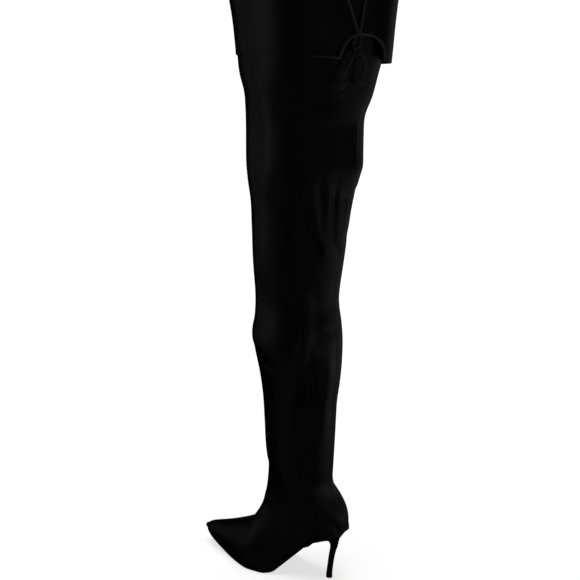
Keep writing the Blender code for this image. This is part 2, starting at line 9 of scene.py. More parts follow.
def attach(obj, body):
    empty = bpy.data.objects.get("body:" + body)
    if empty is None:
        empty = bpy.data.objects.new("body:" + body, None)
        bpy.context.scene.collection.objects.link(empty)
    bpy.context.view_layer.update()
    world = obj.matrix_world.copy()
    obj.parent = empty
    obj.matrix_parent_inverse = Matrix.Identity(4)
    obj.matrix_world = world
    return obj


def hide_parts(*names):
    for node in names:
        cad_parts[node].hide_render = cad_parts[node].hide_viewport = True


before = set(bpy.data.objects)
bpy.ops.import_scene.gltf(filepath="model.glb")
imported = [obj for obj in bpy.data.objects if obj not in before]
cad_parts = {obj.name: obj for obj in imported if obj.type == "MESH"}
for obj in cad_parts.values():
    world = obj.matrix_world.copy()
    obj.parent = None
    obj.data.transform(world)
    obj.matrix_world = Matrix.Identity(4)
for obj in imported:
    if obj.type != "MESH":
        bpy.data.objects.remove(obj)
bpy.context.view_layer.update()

# Camera. It stands behind the outer side of the boot, a little over half its height, and looks slightly down,
# so that the toe points away to the left and the covered heel stands at the right.
CAMERA_PLACE = (-0.79287, 1.35688, 0.88)
CAMERA_AIM = Vector((0.055, 0.0, 0.41))
camera_data = bpy.data.cameras.new("camera")
camera_data.lens = 76.79
camera_data.shift_x = -0.0109
camera_data.shift_y = 0.0061
camera = bpy.data.objects.new("camera", camera_data)
camera.location = CAMERA_PLACE
camera.rotation_euler = (CAMERA_AIM - camera.location).to_track_quat("-Z", "Y").to_euler()
bpy.context.scene.collection.objects.link(camera)
bpy.context.scene.camera = camera

# Self tie. Two straps of folded leather run down from the tips of the cuff's notch into one overhand knot,
# and its two loose ends hang under it, each closed by a folded leaf. All of it is cut from the boot's own
# stretch leather.
TIE_WIDTH = 0.0055
KNOT_CENTRE = Vector((-0.05919, 0.04633, 0.74300))
KNOT_SIDE = Vector((-0.53969, -0.84187, 0.0))
KNOT_OUT = Vector((-0.84187, 0.53969, 0.0))
KNOT_UP = Vector((0.0, 0.0, 1.0))
TAIL_OUTER = (
    (-0.05706, 0.04965, 0.73669),
    (-0.05621, 0.05102, 0.73413),
    (-0.05528, 0.05243, 0.73141),
    (-0.05412, 0.05401, 0.72823),
    (-0.05286, 0.05558, 0.72481),
    (-0.05159, 0.05704, 0.72126),
    (-0.05035, 0.05828, 0.71755),
    (-0.04928, 0.05907, 0.71363),
    (-0.04827, 0.05969, 0.70963),
)
TAIL_INNER = (
    (-0.06185, 0.04218, 0.73732),
    (-0.06312, 0.04035, 0.73499),
    (-0.06416, 0.03857, 0.73237),
    (-0.06467, 0.03686, 0.72892),
    (-0.06465, 0.03536, 0.72511),
    (-0.06397, 0.03421, 0.72115),
    (-0.06279, 0.03338, 0.71719),
    (-0.06114, 0.03296, 0.71352),
    (-0.05930, 0.03271, 0.70993),
)
STRAP_INNER = (
    (-0.06082, 0.04378, 0.74974),
    (-0.06143, 0.04283, 0.75224),
    (-0.06219, 0.04130, 0.75772),
    (-0.06219, 0.04130, 0.76047),
)
STRAP_OUTER = (
    (-0.05755, 0.04888, 0.74974),
    (-0.05694, 0.04983, 0.75224),
    (-0.05821, 0.04782, 0.75635),
    (-0.05821, 0.04782, 0.75910),
)
TIE_SIDES = 16
STRAP_SPREAD = 1.2         # how much wider a strap is at the cuff than at the knot
STRAP_THICKNESSES = (0.0040, 0.0026)
KNOT_POINTS = 96
KNOT_THICKNESS = 0.0044
KNOT_ACROSS, KNOT_ALONG, KNOT_DEEP = 0.00165, 0.0020, 0.0019


def add_node(tree, kind, inputs=None, **settings):
    """A node of a material, its inputs fed with numbers or with other nodes' outputs."""
    made = tree.nodes.new("ShaderNode" + kind)
    for name, value in settings.items():
        setattr(made, name, value)
    for name, value in (inputs or {}).items():
        if isinstance(value, bpy.types.NodeSocket):
            tree.links.new(value, made.inputs[name])
        else:
            made.inputs[name].default_value = value
    return made


def reckon(tree, operation, first, second=0.0, third=0.0):
    return add_node(tree, "Math", {0: first, 1: second, 2: third}, operation=operation).outputs[0]


def spread(tree, value, low, high, to_low, to_high):
    """The value, moved from one range to another and held at its ends."""
    fed = {"Value": value, "From Min": low, "From Max": high, "To Min": to_low, "To Max": to_high}
    return add_node(tree, "MapRange", fed).outputs[0]


def noise(tree, place, scale, detail=2.0, roughness=0.5):
    fed = {"Vector": place, "Scale": scale, "Detail": detail, "Roughness": roughness}
    return add_node(tree, "TexNoise", fed).outputs[0]


def blend_colours(tree, share, first, second):
    fed = {0: share, 6: (*first, 1.0), 7: (*second, 1.0)}
    return add_node(tree, "Mix", fed, data_type="RGBA").outputs[2]


def raise_surface(tree, height, distance, strength=1.0):
    """Adds a relief on top of what the material's surface already has."""
    skin = tree.nodes["Principled BSDF"]
    fed = {"Height": height, "Distance": distance, "Strength": strength}
    if skin.inputs["Normal"].links:
        fed["Normal"] = skin.inputs["Normal"].links[0].from_socket
    relief = add_node(tree, "Bump", fed).outputs[0]
    tree.links.new(relief, skin.inputs["Normal"])


def blank(name):
    """A new material, its node tree, its shader and the place on the object."""
    made = bpy.data.materials.new(name)
    made.use_nodes = True
    tree = made.node_tree
    return made, tree, tree.nodes["Principled BSDF"], add_node(tree, "TexCoord").outputs["Object"]


def leather(name, deep, worn, gloss, cell, cell_depth, coat):
    """Black leather: cells and pores, gloss that changes slowly over the skin, and rubbed high spots.

    gloss is the range of its roughness and cell the size of its grain in metres.
    """
    made, tree, skin, place = blank(name)
    fed = {"Vector": place, "Scale": 1 / cell, "Randomness": 0.9}
    cells = add_node(tree, "TexVoronoi", fed, feature="DISTANCE_TO_EDGE").outputs["Distance"]
    pores = noise(tree, place, 3.1 / cell, 2.0)
    slow = noise(tree, place, 14.0, 3.0)
    streaks = add_node(tree, "Mapping", {"Vector": place, "Scale": (60.0, 60.0, 9.0)}).outputs[0]
    drag = noise(tree, streaks, 1.0, 3.0, 0.6)
    rubbed = spread(tree, add_node(tree, "NewGeometry").outputs["Pointiness"], 0.5, 0.56, 0.0, 0.55)
    mottled = reckon(tree, "ADD", rubbed, spread(tree, slow, 0.35, 0.75, 0.0, 0.4))
    tree.links.new(blend_colours(tree, mottled, deep, worn), skin.inputs["Base Color"])
    sheen = reckon(tree, "MULTIPLY_ADD", slow, 0.6, reckon(tree, "MULTIPLY", drag, 0.4))
    tree.links.new(spread(tree, sheen, 0.35, 0.65, gloss[0], gloss[1]), skin.inputs["Roughness"])
    skin.inputs["Coat Weight"].default_value = coat
    skin.inputs["Coat Roughness"].default_value = gloss[0]
    raise_surface(tree, spread(tree, cells, 0.0, 0.22, 0.0, 1.0), cell_depth)
    raise_surface(tree, pores, cell_depth * 0.35)
    raise_surface(tree, drag, 0.0004, 0.35)
    return made


def placed(name, data):
    """A new object of the scene."""
    made = bpy.data.objects.new(name, data)
    bpy.context.scene.collection.objects.link(made)
    return made


def new_piece(name, bm, *materials):
    """A piece of the boot from finished mesh, in its place, that rides with the boot."""
    mesh = bpy.data.meshes.new(name)
    bm.to_mesh(mesh)
    bm.free()
    mesh.shade_smooth()
    piece = placed(name, mesh)
    for made in materials:
        piece.data.materials.append(made)
    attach(piece, "root")
    return piece


def curve_through(points, per_span):
    """Points of a smooth curve through the given ones."""
    route = [Vector(p) for p in points]
    ends = [route[0] * 2 - route[1]] + route + [route[-1] * 2 - route[-2]]
    curve = []
    for a, b, c, d in zip(ends, ends[1:], ends[2:], ends[3:]):
        bend = a * 2 - b * 5 + c * 4 - d
        twist = b * 3 - a - c * 3 + d
        for k in range(per_span):
            t = k / per_span
            curve.append((b * 2 + (c - a) * t + bend * t * t + twist * t ** 3) / 2)
    return curve + [route[-1]]


def strap(name, route, side, widths, thicknesses, made):
    """A folded strap along a route, with rounded ends.

    Widths and thicknesses are given at its start and its end.
    """
    route = [Vector(p) for p in route]
    frames = []
    for k, point in enumerate(route):
        ahead = (route[min(k + 1, len(route) - 1)] - route[max(k - 1, 0)]).normalized()
        across = (side - ahead * side.dot(ahead)).normalized()
        share = k / (len(route) - 1)
        width = widths[0] + (widths[1] - widths[0]) * share
        thick = thicknesses[0] + (thicknesses[1] - thicknesses[0]) * share
        frames.append((point, across * width, ahead.cross(across) * thick, ahead * thick))
    rounds = [(math.cos(a), math.sin(a)) for a in (math.pi / 12, math.pi / 5, math.pi / 3)]
    first, last = frames[0], frames[-1]
    rings = [(first[0] - first[3] * up / 2, first[1] * out, first[2] * out, first[3]) for up, out in rounds]
    rings += frames
    rounds.reverse()
    rings += [(last[0] + last[3] * up / 2, last[1] * out, last[2] * out, last[3]) for up, out in rounds]
    bm = bmesh.new()
    ring = bmesh.ops.create_circle(bm, segments=TIE_SIDES, radius=0.5)["verts"]
    edges = list(bm.edges)
    held = Matrix.Identity(4)
    for centre, wide, thick, ahead in rings:
        shape = Matrix((wide, thick, ahead)).transposed().to_4x4()
        shape.translation = centre
        if centre != rings[0][0]:
            grown = bmesh.ops.extrude_edge_only(bm, edges=edges)["geom"]
            ring = [part for part in grown if isinstance(part, bmesh.types.BMVert)]
            edges = [part for part in grown if isinstance(part, bmesh.types.BMEdge)]
            edges = [edge for edge in edges if all(vert in ring for vert in edge.verts)]
        bmesh.ops.transform(bm, matrix=shape @ held.inverted(), verts=ring)
        held = shape
    bmesh.ops.holes_fill(bm, edges=bm.edges, sides=0)
    bmesh.ops.recalc_face_normals(bm, faces=bm.faces)
    return new_piece(name, bm, made)


# The tie is the boot's own black leather, but its colour is painted about ten times lighter: a painted
# highlight for the light that the tie catches.
TIE_PAINTED_LIT, TIE_PAINTED_LIT_WORN = (0.080, 0.080, 0.081), (0.160, 0.158, 0.156)
tie_painted_highlight = leather("tie_painted_highlight", TIE_PAINTED_LIT, TIE_PAINTED_LIT_WORN, (0.26, 0.38), 0.0008, 0.00008, 0.2)
for name, route in (("tail_outer", TAIL_OUTER), ("tail_inner", TAIL_INNER)):
    fine = curve_through(route, 4)
    thick = (TIE_WIDTH * 0.8, TIE_WIDTH * 0.7)
    strap(name, fine, KNOT_SIDE, (TIE_WIDTH, TIE_WIDTH), thick, tie_painted_highlight)
    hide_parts("tie_" + name)

for name, route in (("strap_inner", STRAP_INNER), ("strap_outer", STRAP_OUTER)):
    wide = (TIE_WIDTH, TIE_WIDTH * STRAP_SPREAD)
    piece = strap(name, curve_through(route, 5), KNOT_SIDE, wide, STRAP_THICKNESSES, tie_painted_highlight)
    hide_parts(name.replace("strap", "tie_strand"))

knot_curve = bpy.data.curves.new("knot", "CURVE")
knot_curve.dimensions = "3D"
knot_curve.bevel_depth = 1.0  # the points carry the radius in metres
knot_curve.bevel_resolution = 5
turn = knot_curve.splines.new("POLY")
turn.use_cyclic_u = True
turn.points.add(KNOT_POINTS - 1)
for k in range(KNOT_POINTS):
    t = 2 * math.pi * k / KNOT_POINTS
    sideways = KNOT_SIDE * KNOT_ACROSS * (math.sin(t) + 2 * math.sin(2 * t))
    upwards = KNOT_UP * KNOT_ALONG * (math.cos(t) - 2 * math.cos(2 * t) + 0.45)
    outwards = KNOT_OUT * KNOT_DEEP * math.sin(3 * t)
    turn.points[k].co = (*(KNOT_CENTRE + sideways + upwards - outwards), 1.0)
    turn.points[k].radius = KNOT_THICKNESS / 2
knot = placed("knot", knot_curve)
knot.data.materials.append(tie_painted_highlight)
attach(knot, "root")
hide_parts("tie_knot")

# Leaves of the tie. Each end of the strap is folded over into a flat pointed leaf, with its fold along one
# long side and its raw edges pressed together at the other.
LEAF_LENGTH = 0.0142
LEAF_WIDTH = 0.0102
LEAF_THICKNESS = 0.0026
# Share of the leaf's length and of its width there
LEAF_OUTLINE = ((0.0, 0.16), (0.12, 0.30), (0.35, 0.62), (0.62, 0.92), (0.80, 1.0), (0.92, 0.80), (1.0, 0.30))
LEAF_SKEW = 0.0022
LEAF_BULGE = 0.0007
LEAVES = (
    (
        "leaf_outer", (-0.04650, 0.06079, 0.70263),
        (-0.49393, -0.83133, -0.25482), (0.24265, 0.14963, -0.95851),
    ),
    (
        "leaf_inner", (-0.05596, 0.03225, 0.70345),
        (-0.45990, -0.87049, -0.17531), (0.45668, -0.06255, -0.88743),
    ),
)
for name, centre, across, down in LEAVES:
    centre, across, down = Vector(centre), Vector(across), Vector(down)
    outwards = down.cross(across)
    bm = bmesh.new()
    bmesh.ops.create_uvsphere(bm, u_segments=32, v_segments=24, radius=0.5)
    for vert in bm.verts:
        along = 0.5 - vert.co.z
        ring = max(1e-6, math.sqrt(max(0.0, 0.25 - vert.co.z ** 2)))
        wide = float(np.interp(along, [row[0] for row in LEAF_OUTLINE], [row[1] for row in LEAF_OUTLINE]))
        wide *= min(1.0, ring * 5)
        turn_x, turn_y = vert.co.x / ring, vert.co.y / ring
        fold = 0.45 + 0.55 * turn_x
        thick = LEAF_THICKNESS / 2 * (0.45 + 0.55 * fold) * min(1.0, ring * 3.2)
        skew = (along - 0.35) * LEAF_SKEW
        vert.co = (
            centre
            + down * (along - 0.5) * LEAF_LENGTH
            + across * (turn_x * wide * LEAF_WIDTH / 2 + skew)
            + outwards * (turn_y * thick + LEAF_BULGE * math.sin(along * math.pi) - 0.0003)
        )
    bm.normal_update()
    bmesh.ops.recalc_face_normals(bm, faces=bm.faces)
    leaf = new_piece(name, bm, tie_painted_highlight)
    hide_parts("tie_" + name)
    route = TAIL_OUTER if "outer" in name else TAIL_INNER

# Upper. One long skin of stretch leather, cut in two halves that meet in a seam down the back, backed with
# a thin knit lining and drawn over a pointed last: foot, heel counter, ankle, calf, knee and thigh, open at
# the collar.
LAST_LENGTH = 0.2382
HEEL_BACK = -0.0252
BALL_WIDTH = 0.078
INSTEP_HEIGHT = 0.062
HEEL_HEIGHT = 0.073
TOE_SPRING = 0.018
TOE_BULGE = 0.0035
SOLE_THICKNESS = 0.003
GAP = 0.0003
ANKLE_DEPTH, ANKLE_WIDTH = 0.0985, 0.079
CALF_DEPTH, CALF_WIDTH = 0.128, 0.110
THIGH_DEPTH, THIGH_WIDTH = 0.1565, 0.143
COLLAR_DEPTH, COLLAR_WIDTH = 0.214, 0.200
COLLAR_HEIGHT = 0.803
WALL = 0.0016
MATT_FOOT = 0.17           # how much duller the leather lies over the foot than up the leg
MATT_HEIGHTS = (0.10, 0.22)
COLUMNS = 160
FOOT_ROWS = 100
SHAFT_ROWS = 176
CAP_ROWS = 6
CAP_KEPT = 10              # rows behind the toe that keep their own shape
SMOOTHINGS = 10
SOLE_KEPT, KEPT_STEP = 0.004, 0.0012  # height over the sole that isn't smoothed, and its rise at each turn
SEAT_KEPT = 0.0015         # the same over the heel seat
SEAT_BLEND = (-0.013, 0.010)
# Underside along the last: share of its length, of the heel's height and of the toe's spring
ARCH = np.array((
    (0.000, 1.000, 0.00), (0.060, 0.975, 0.00), (0.120, 0.900, 0.00), (0.185, 0.790, 0.00),
    (0.255, 0.660, 0.00), (0.318, 0.445, 0.00), (0.372, 0.195, 0.00), (0.425, 0.040, 0.00),
    (0.480, 0.000, 0.00), (0.600, 0.000, 0.00), (0.700, 0.000, 0.08), (0.850, 0.000, 0.46),
    (1.000, 0.000, 1.00),
))
# Sections from the toe to the ankle: base and its lift, crest and its rise and climb, outer and inner half
# widths, swing to the side, height of the widest part, how flat the underside lies and how much of it does
FOOT = np.array((
    (0.995, 0.00, 0.994, 0.450, 0.00, 0.050, 0.050, -0.030, 0.45, 1.00, 0.60),
    (0.972, 0.00, 0.968, 0.515, 0.00, 0.112, 0.110, -0.030, 0.42, 1.00, 0.80),
    (0.930, 0.00, 0.924, 0.575, 0.00, 0.185, 0.180, -0.028, 0.38, 1.00, 0.90),
    (0.875, 0.00, 0.868, 0.640, 0.00, 0.258, 0.250, -0.024, 0.35, 1.00, 0.93),
    (0.805, 0.00, 0.805, 0.725, 0.00, 0.345, 0.330, -0.018, 0.33, 1.00, 0.93),
    (0.730, 0.00, 0.745, 0.820, 0.00, 0.438, 0.405, -0.010, 0.32, 1.00, 0.93),
    (0.650, 0.00, 0.690, 0.915, 0.00, 0.532, 0.465, -0.002, 0.31, 1.00, 0.93),
    (0.570, 0.00, 0.634, 1.030, 0.00, 0.600, 0.492, 0.004, 0.31, 1.00, 0.93),
    (0.490, 0.00, 0.586, 1.120, 0.14, 0.590, 0.468, 0.008, 0.32, 1.00, 0.93),
    (0.410, 0.00, 0.555, 1.150, 0.30, 0.525, 0.425, 0.008, 0.33, 1.00, 0.93),
    (0.330, 0.00, 0.537, 1.170, 0.48, 0.455, 0.402, 0.006, 0.35, 1.00, 0.93),
    (0.250, 0.00, 0.527, 1.200, 0.64, 0.435, 0.408, 0.002, 0.37, 1.00, 0.93),
    (0.175, 0.00, 0.521, 1.240, 0.78, 0.432, 0.422, 0.000, 0.40, 1.00, 0.93),
    (0.105, 0.00, 0.517, 1.290, 0.90, 0.440, 0.436, 0.000, 0.43, 1.00, 0.90),
    (0.048, 0.00, 0.515, 1.340, 0.98, 0.452, 0.450, 0.000, 0.45, 1.00, 0.76),
    (0.012, 0.02, 0.514, 1.400, 1.00, 0.466, 0.464, 0.000, 0.47, 1.00, 0.42),
    (-0.010, 0.20, 0.514, 1.470, 1.00, 0.480, 0.478, 0.000, 0.48, 0.50, 0.25),
    (-0.003, 0.44, 0.515, 1.540, 1.00, 0.492, 0.492, 0.000, 0.49, 0.12, 0.25),
    (0.046, 0.69, 0.516, 1.610, 1.00, 0.500, 0.500, 0.000, 0.50, 0.00, 0.25),
    (0.094, 0.94, 0.517, 1.690, 1.00, 0.505, 0.505, 0.000, 0.50, 0.00, 0.25),
))
# Sections from the ankle to the collar: height, centre, depth, width and slant
SHAFT = np.array((
    (0.126, 0.315, ANKLE_DEPTH * 0.997, ANKLE_WIDTH * 1.00, 0.40),
    (0.150, 0.315, ANKLE_DEPTH * 1.015, ANKLE_WIDTH * 1.04, 0.30),
    (0.180, 0.313, ANKLE_DEPTH * 1.030, ANKLE_WIDTH * 1.08, 0.19),
    (0.215, 0.312, ANKLE_DEPTH * 1.050, ANKLE_WIDTH * 1.11, 0.10),
    (0.256, 0.312, CALF_DEPTH * 0.830, CALF_WIDTH * 0.820, 0.04),
    (0.295, 0.310, CALF_DEPTH * 0.885, CALF_WIDTH * 0.875, 0.01),
    (0.335, 0.316, CALF_DEPTH * 0.945, CALF_WIDTH * 0.940, 0.00),
    (0.372, 0.329, CALF_DEPTH * 1.000, CALF_WIDTH * 1.000, 0.00),
    (0.410, 0.326, CALF_DEPTH * 0.960, CALF_WIDTH * 0.970, 0.00),
    (0.455, 0.332, CALF_DEPTH * 0.912, CALF_WIDTH * 0.930, 0.00),
    (0.530, 0.324, CALF_DEPTH * 0.985, CALF_WIDTH * 1.017, 0.00),
    (0.585, 0.314, THIGH_DEPTH * 0.842, THIGH_WIDTH * 0.822, 0.00),
    (0.635, 0.304, THIGH_DEPTH * 0.880, THIGH_WIDTH * 0.864, 0.00),
    (0.675, 0.295, THIGH_DEPTH * 0.950, THIGH_WIDTH * 0.940, 0.00),
    (0.715, 0.285, THIGH_DEPTH * 1.000, THIGH_WIDTH * 0.995, 0.00),
    (0.784, 0.283, THIGH_DEPTH * 0.998, THIGH_WIDTH * 1.004, 0.00),
    (0.828, 0.260, COLLAR_DEPTH * 0.782, COLLAR_WIDTH * 0.775, 0.00),
    (0.870, 0.259, COLLAR_DEPTH * 0.850, COLLAR_WIDTH * 0.846, 0.00),
    (0.914, 0.244, COLLAR_DEPTH * 0.902, COLLAR_WIDTH * 0.900, 0.00),
    (0.958, 0.234, COLLAR_DEPTH * 0.950, COLLAR_WIDTH * 0.948, 0.00),
    (1.000, 0.231, COLLAR_DEPTH * 1.000, COLLAR_WIDTH * 1.000, 0.00),
))
ON_SOLE = 16               # rows of the foot whose base lies on the sole or the heel
OPEN_FROM, OPEN_TO = 2, 14  # rows between which the sole closes the upper
OPEN_SHARE = 3 / 32        # share of the girth on each side of the middle that is open there


def smooth(keys, values, at):
    """Rows through the given ones that neither overshoot them nor bend at a flat stretch."""
    keys, values = np.asarray(keys, float), np.asarray(values, float)
    at = min(max(at, keys[0]), keys[-1])
    steps = np.diff(values, axis=0) / np.diff(keys)[:, None]
    product = steps[:-1] * steps[1:]
    total = steps[:-1] + steps[1:]
    inner = np.where(product > 0, 2 * product / np.where(total == 0, 1, total), 0.0)
    slopes = np.vstack([steps[:1], inner, steps[-1:]])
    i = int(min(np.searchsorted(keys, at, side="right") - 1, len(keys) - 2))
    span = keys[i + 1] - keys[i]
    t = (at - keys[i]) / span
    return (
        values[i] * (1 + 2 * t) * (1 - t) ** 2
        + slopes[i] * span * t * (1 - t) ** 2
        + values[i + 1] * t * t * (3 - 2 * t)
        + slopes[i + 1] * span * t * t * (t - 1)
    )


def feather(share):
    """Height of the upper's underside over the floor, this far along the last."""
    heel, spring = smooth(ARCH[:, 0], ARCH[:, 1:], share)
    floor = SOLE_THICKNESS + GAP
    return floor + heel * (HEEL_HEIGHT - floor) + spring * TOE_SPRING


def foot_section(row):
    """Base, crest, half widths, swing, belly, flat and edge of a section, in metres."""
    base, lift, crest, rise, climb, outer, inner, swing, belly, flat, edge = row
    return np.array((
        HEEL_BACK + base * LAST_LENGTH,
        feather(base) + lift * INSTEP_HEIGHT,
        HEEL_BACK + crest * LAST_LENGTH,
        rise * INSTEP_HEIGHT + climb * HEEL_HEIGHT,
        outer * BALL_WIDTH, inner * BALL_WIDTH, swing * BALL_WIDTH, belly, flat, edge,
    ))


def shaft_section(row):
    height = HEEL_HEIGHT + row[0] * (COLLAR_HEIGHT - HEEL_HEIGHT)
    centre = HEEL_BACK + row[1] * LAST_LENGTH
    tilt, half, side = row[4] * ANKLE_DEPTH / 2, row[2] / 2, row[3] / 2
    return np.array((
        centre - half, height - tilt, centre + half, height + tilt, side, side, 0.0, 0.5, 0.0, 0.25
    ))


SECTIONS = np.array([foot_section(row) for row in FOOT] + [shaft_section(row) for row in SHAFT])
LEVELS = (SECTIONS[:, 1] + SECTIONS[:, 3]) / 2
PLACES = np.arange(len(SECTIONS))
ANKLE = len(FOOT)


def section_at(place):
    """The section at a row of the tables or between two."""
    if place <= ON_SOLE:
        return foot_section(smooth(np.arange(len(FOOT)), FOOT, place))
    return smooth(PLACES, SECTIONS, place)


def leg_section(height):
    """The shaft's section at this height."""
    return smooth(LEVELS[ANKLE:], SECTIONS[ANKLE:], height)


def ring_point(section, angle, grow=0.0):
    """A point of a section's outline, grown outwards. At 0 it is the outer side, at pi/2 the front."""
    base_x, base_z, crest_x, crest_z, outer, inner, swing, belly, flat, edge = section
    across, rise = math.cos(angle), math.sin(angle)
    reach, part = across, rise
    if rise < 0:
        corner = abs(math.remainder(angle + math.pi / 2, 2 * math.pi)) / (math.pi / 4)
        wall = math.sin((corner - 1) * math.pi / 2) if corner > 1 else 0.0
        flat_reach = math.copysign(edge * min(corner, 1) + (1 - edge) * wall, across)
        flat_part = -math.cos((corner - 1) * math.pi / 2) if corner > 1 else -1.0
        reach += (flat_reach - across) * flat
        part += (flat_part - rise) * flat
    side = (outer if across > 0 else inner) + grow
    above = belly + part * (1 - belly if part > 0 else belly)
    axis_x, axis_z = crest_x - base_x, crest_z - base_z
    length = math.hypot(axis_x, axis_z)
    stretch = above + grow * part / length
    return Vector((base_x + axis_x * stretch, swing + reach * side, base_z + axis_z * stretch))


def leg_point(bearing, height, grow=0.0):
    """A point on the shaft at a height and a bearing: 0 is the front, 90 the outer side and 180 the back."""
    level = height
    for _ in range(4):
        point = ring_point(leg_section(level), math.radians(90 - bearing), grow)
        level += height - point.z
    return point


def distances(spots, route):
    """How far each spot lies from a route, and how far along the route its nearest point is, as a share."""
    route = np.array([tuple(p) for p in route])
    lengths = np.linalg.norm(np.diff(route, axis=0), axis=1)
    before = np.concatenate([[0.0], np.cumsum(lengths)])
    nearest = np.full(len(spots), 1e9)
    along = np.zeros(len(spots))
    for k, length in enumerate(lengths):
        step = (route[k + 1] - route[k]) / length
        run = np.clip((spots - route[k]) @ step, 0, length)
        gap = np.linalg.norm(spots - route[k] - run[:, None] * step, axis=1)
        closer = gap < nearest
        nearest[closer] = gap[closer]
        along[closer] = (before[k] + run[closer]) / before[-1]
    return nearest, along


def folded(spots, route, width, height):
    """How far a soft ridge, or with a negative height a trough, along the route raises each spot."""
    gap, along = distances(spots, route)
    fade = np.clip(np.minimum(along, 1 - along) * 4, 0, 1)
    return height * np.exp(-((gap / width) ** 2)) * (0.15 + 0.85 * fade * fade * (3 - 2 * fade))


# Folds of the shaft: bearing in degrees and height in metres along each, its width and how far it stands
# out or in
FOLDS = (
    (((123, 0.600), (125, 0.581), (131, 0.547), (139, 0.513), (150, 0.485), (161, 0.467)), 0.0082, 0.0050),
    (((143, 0.590), (146, 0.560), (152, 0.512), (161, 0.486), (170, 0.466)), 0.0062, 0.0036),
    (((154, 0.575), (156, 0.555), (161, 0.508), (174, 0.481)), 0.0056, -0.0036),
    (((128, 0.440), (130, 0.417), (129, 0.370), (121, 0.335), (112, 0.284), (106, 0.255)), 0.0082, 0.0048),
    (((141, 0.440), (144, 0.417), (147, 0.376), (144, 0.335)), 0.0090, -0.0005),
    (((160, 0.350), (164, 0.303), (161, 0.259), (158, 0.215)), 0.0070, 0.0022),
    (((160, 0.556), (170, 0.553), (182, 0.549), (196, 0.551), (212, 0.558)), 0.0055, -0.0028),
    (((165, 0.575), (178, 0.585), (192, 0.588), (205, 0.582)), 0.0130, 0.0016),
    (((172, 0.535), (185, 0.530), (200, 0.532)), 0.0080, 0.0014),
    (((150, 0.500), (172, 0.492), (190, 0.490), (215, 0.500)), 0.0075, -0.0012),
    (((156, 0.380), (165, 0.371), (178, 0.373), (195, 0.380)), 0.0075, -0.0012),
    (((172, 0.350), (172, 0.310), (172, 0.270), (170, 0.225)), 0.0090, -0.0010),
    (((20, 0.345), (38, 0.333), (57, 0.322), (75, 0.318), (92, 0.322)), 0.0070, -0.0018),
    (((15, 0.368), (35, 0.357), (55, 0.350)), 0.0110, 0.0016),
    (((0, 0.330), (-25, 0.324), (-55, 0.318), (-80, 0.322)), 0.0075, -0.0014),
    (((128, 0.158), (143, 0.150), (158, 0.147), (175, 0.144), (192, 0.143), (215, 0.148)), 0.0060, -0.0008),
    (((120, 0.172), (145, 0.166), (170, 0.162), (200, 0.163)), 0.0080, 0.0005),
    (((95, 0.190), (120, 0.186), (145, 0.184), (170, 0.188)), 0.0075, -0.0005),
    (((80, 0.480), (82, 0.560), (84, 0.640), (86, 0.710)), 0.0110, 0.0008),
    (((60, 0.520), (62, 0.600), (68, 0.680)), 0.0120, -0.0008),
    (((-40, 0.470), (-55, 0.520), (-62, 0.590), (-60, 0.660)), 0.0110, 0.0014),
    (((-85, 0.560), (-100, 0.552), (-120, 0.550), (-140, 0.556)), 0.0075, -0.0018),
    (((-95, 0.600), (-100, 0.660), (-104, 0.710)), 0.0120, 0.0010),
    (((-120, 0.470), (-122, 0.420), (-116, 0.370), (-110, 0.320)), 0.0100, 0.0012),
    (((-90, 0.185), (-115, 0.180), (-140, 0.178)), 0.0065, -0.0012),
    (((-60, 0.240), (-85, 0.232), (-105, 0.236)), 0.0080, -0.0010),
)
# Creases of the foot, as points beside its surface: the break of the vamp, the sides of the ankle and the
# quarter
CREASES = (
    (
        ((0.110, 0.020, 0.079), (0.100, 0.029, 0.073), (0.090, 0.036, 0.062), (0.083, 0.041, 0.050)),
        0.0060, -0.0005,
    ),
    (
        ((0.104, 0.010, 0.098), (0.096, 0.024, 0.100), (0.080, 0.033, 0.094), (0.064, 0.037, 0.086)),
        0.0065, -0.0006,
    ),
    (
        ((0.100, 0.012, 0.117), (0.088, 0.026, 0.120), (0.070, 0.034, 0.118), (0.052, 0.037, 0.112)),
        0.0065, -0.0005,
    ),
    (((0.102, 0.008, 0.108), (0.092, 0.024, 0.110), (0.075, 0.033, 0.106)), 0.0070, 0.0005),
    (((0.104, -0.010, 0.098), (0.094, -0.024, 0.099), (0.078, -0.031, 0.093)), 0.0065, -0.0005),
    (((0.100, -0.012, 0.117), (0.088, -0.025, 0.120), (0.070, -0.033, 0.118)), 0.0065, -0.0005),
    (((0.118, -0.018, 0.066), (0.106, -0.028, 0.058), (0.096, -0.034, 0.046)), 0.0060, -0.0004),
    (((0.020, 0.036, 0.108), (0.004, 0.033, 0.106), (-0.010, 0.024, 0.108)), 0.0070, -0.0005),
)


def leather_seams(made, offset, pitch):
    """A closed seam at the middle of the surface's own map, with a row of stitches on each side of it."""
    tree = made.node_tree
    skin = tree.nodes["Principled BSDF"]
    surface = add_node(tree, "UVMap", uv_map="surface").outputs[0]
    parts = add_node(tree, "SeparateXYZ", {0: surface})
    aside = reckon(tree, "ABSOLUTE", parts.outputs[0])
    groove = spread(tree, aside, 0.0, 0.0008, 0.0, 1.0)
    welt = spread(tree, aside, 0.0006, 0.0040, 1.0, 0.0)
    raise_surface(tree, reckon(tree, "MULTIPLY", groove, welt), 0.0007)
    beside = reckon(tree, "ABSOLUTE", reckon(tree, "SUBTRACT", aside, offset))
    line = spread(tree, beside, 0.0002, 0.0006, 1.0, 0.0)
    along = reckon(tree, "PINGPONG", parts.outputs[1], pitch / 2)
    dash = spread(tree, along, pitch * 0.06, pitch * 0.14, 0.0, 1.0)
    thread = reckon(tree, "MULTIPLY", line, dash)
    raise_surface(tree, thread, 0.0003)
    raise_surface(tree, line, -0.0002)
    old = skin.inputs["Base Color"].links[0].from_socket
    fed = {0: thread, 6: old, 7: (0.020, 0.020, 0.021, 1.0)}
    tinted = add_node(tree, "Mix", fed, data_type="RGBA").outputs[2]
    tree.links.new(tinted, skin.inputs["Base Color"])


